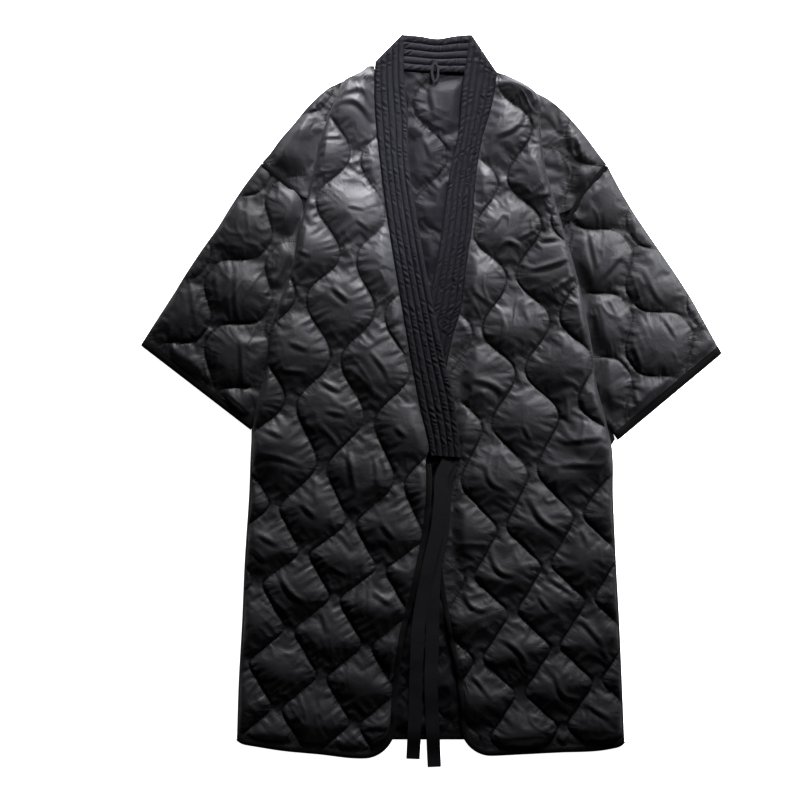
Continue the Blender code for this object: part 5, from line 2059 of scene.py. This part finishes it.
    def build(self) -> None:
        """Make, simulate and dress every piece."""
        for shell in self.quilted.values():
            shell.unfold()
        self.simulate(Drape())
        for node, shell in {**self.quilted, **self.trims}.items():
            if shell.piece is None:
                shell.unfold()
            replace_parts(shell.line(), node)
        self.declare()

    def declare(self) -> None:
        """Log the flat cut of every panel, band and tie."""
        shells = {**self.quilted, **self.trims}
        below = {
            "front_right": ["back_panel", "front_left", "sleeve_right"],
            "front_left": ["back_panel", "sleeve_left"],
            "sleeve_right": [], "sleeve_left": [],
            "shoulder_right": ["back_panel"], "shoulder_left": ["back_panel"],
            "back_panel": [],
            "neckband_back": ["back_panel"],
            "neckband_left": ["back_panel"],
            "neckband_right": ["neckband_left", "front_left"],
            "tie_left": ["front_left"], "tie_right": ["front_left"],
        }
        for node, under in below.items():
            shell = shells[node]
            width, length, area = shell.cut()
            LOG.info("cut of %s: %.3f x %.3f m, %.4f square metres", node, width, length, area)


class Softbox(NamedTuple):
    """A square lamp: where it stands, what it aims at, its side, spread and power."""

    name: str
    place: tuple[float, float, float]
    aim: tuple[float, float, float]
    size: float
    spread: float
    power: float


SOFTBOXES = [
    Softbox("key_softbox", (0.3, 2.4, 0.76), (0.0, 0.05, 0.0), 0.8, 50.0, 25.0),
    Softbox("upper_softbox", (0.14, 1.0, 0.72), (-0.04, 0.38, 0.0), 0.3, 22.0, 1.8),
    Softbox("side_softbox", (0.9, 0.65, 0.55), (0.34, 0.15, 0.0), 0.4, 40.0, 2.2),
]


def studio() -> None:
    """Set the pale floor, the soft lights and the camera straight above."""
    shape = bmesh.new()
    bmesh.ops.create_grid(shape, x_segments=1, y_segments=1, size=FLOOR_SIZE)
    mesh = bpy.data.meshes.new("floor")
    shape.to_mesh(mesh)
    shape.free()
    floor = bpy.data.objects.new("floor", mesh)
    bpy.context.scene.collection.objects.link(floor)
    for vert in mesh.vertices:
        vert.co.z = -FLOOR_DROP
    paper = bpy.data.materials.new("matt_white_paper")
    paper.use_nodes = True
    shader = paper.node_tree.nodes["Principled BSDF"]
    shader.inputs["Base Color"].default_value = linear("#fafafa")
    shader.inputs["Roughness"].default_value = 0.9
    shader.inputs["Specular IOR Level"].default_value = 0.1
    shader.inputs["Emission Color"].default_value = linear("#ffffff")
    shader.inputs["Emission Strength"].default_value = 1.0
    mesh.materials.append(paper)

    world = bpy.data.worlds.new("studio")
    bpy.context.scene.world = world
    world.use_nodes = True
    glow = world.node_tree.nodes["Background"]
    glow.inputs["Color"].default_value = linear("#f4f6fa")
    glow.inputs["Strength"].default_value = WORLD_GLOW
    for box in SOFTBOXES:
        light = bpy.data.lights.new(box.name, "AREA")
        light.shape = "SQUARE"
        light.size = box.size
        light.spread = math.radians(box.spread)
        light.energy = box.power
        lamp = bpy.data.objects.new(box.name, light)
        lamp.location = box.place
        ahead = Vector(box.aim) - Vector(box.place)
        lamp.rotation_euler = ahead.to_track_quat("-Z", "Y").to_euler()
        bpy.context.scene.collection.objects.link(lamp)

    lens = bpy.data.cameras.new("above")
    lens.sensor_width = SENSOR
    lens.lens = LENS
    camera = bpy.data.objects.new("above", lens)
    camera.location = CAMERA_SPOT
    bpy.context.scene.collection.objects.link(camera)
    bpy.context.scene.camera = camera
    bpy.context.scene.view_settings.view_transform = "Standard"
    bpy.context.scene.view_settings.gamma = GAMMA


def main() -> None:
    """Build the coat and its studio."""
    logging.basicConfig(level=logging.INFO, format="%(name)s %(message)s")
    studio()
    Coat().build()


if __name__ == "__main__":
    main()
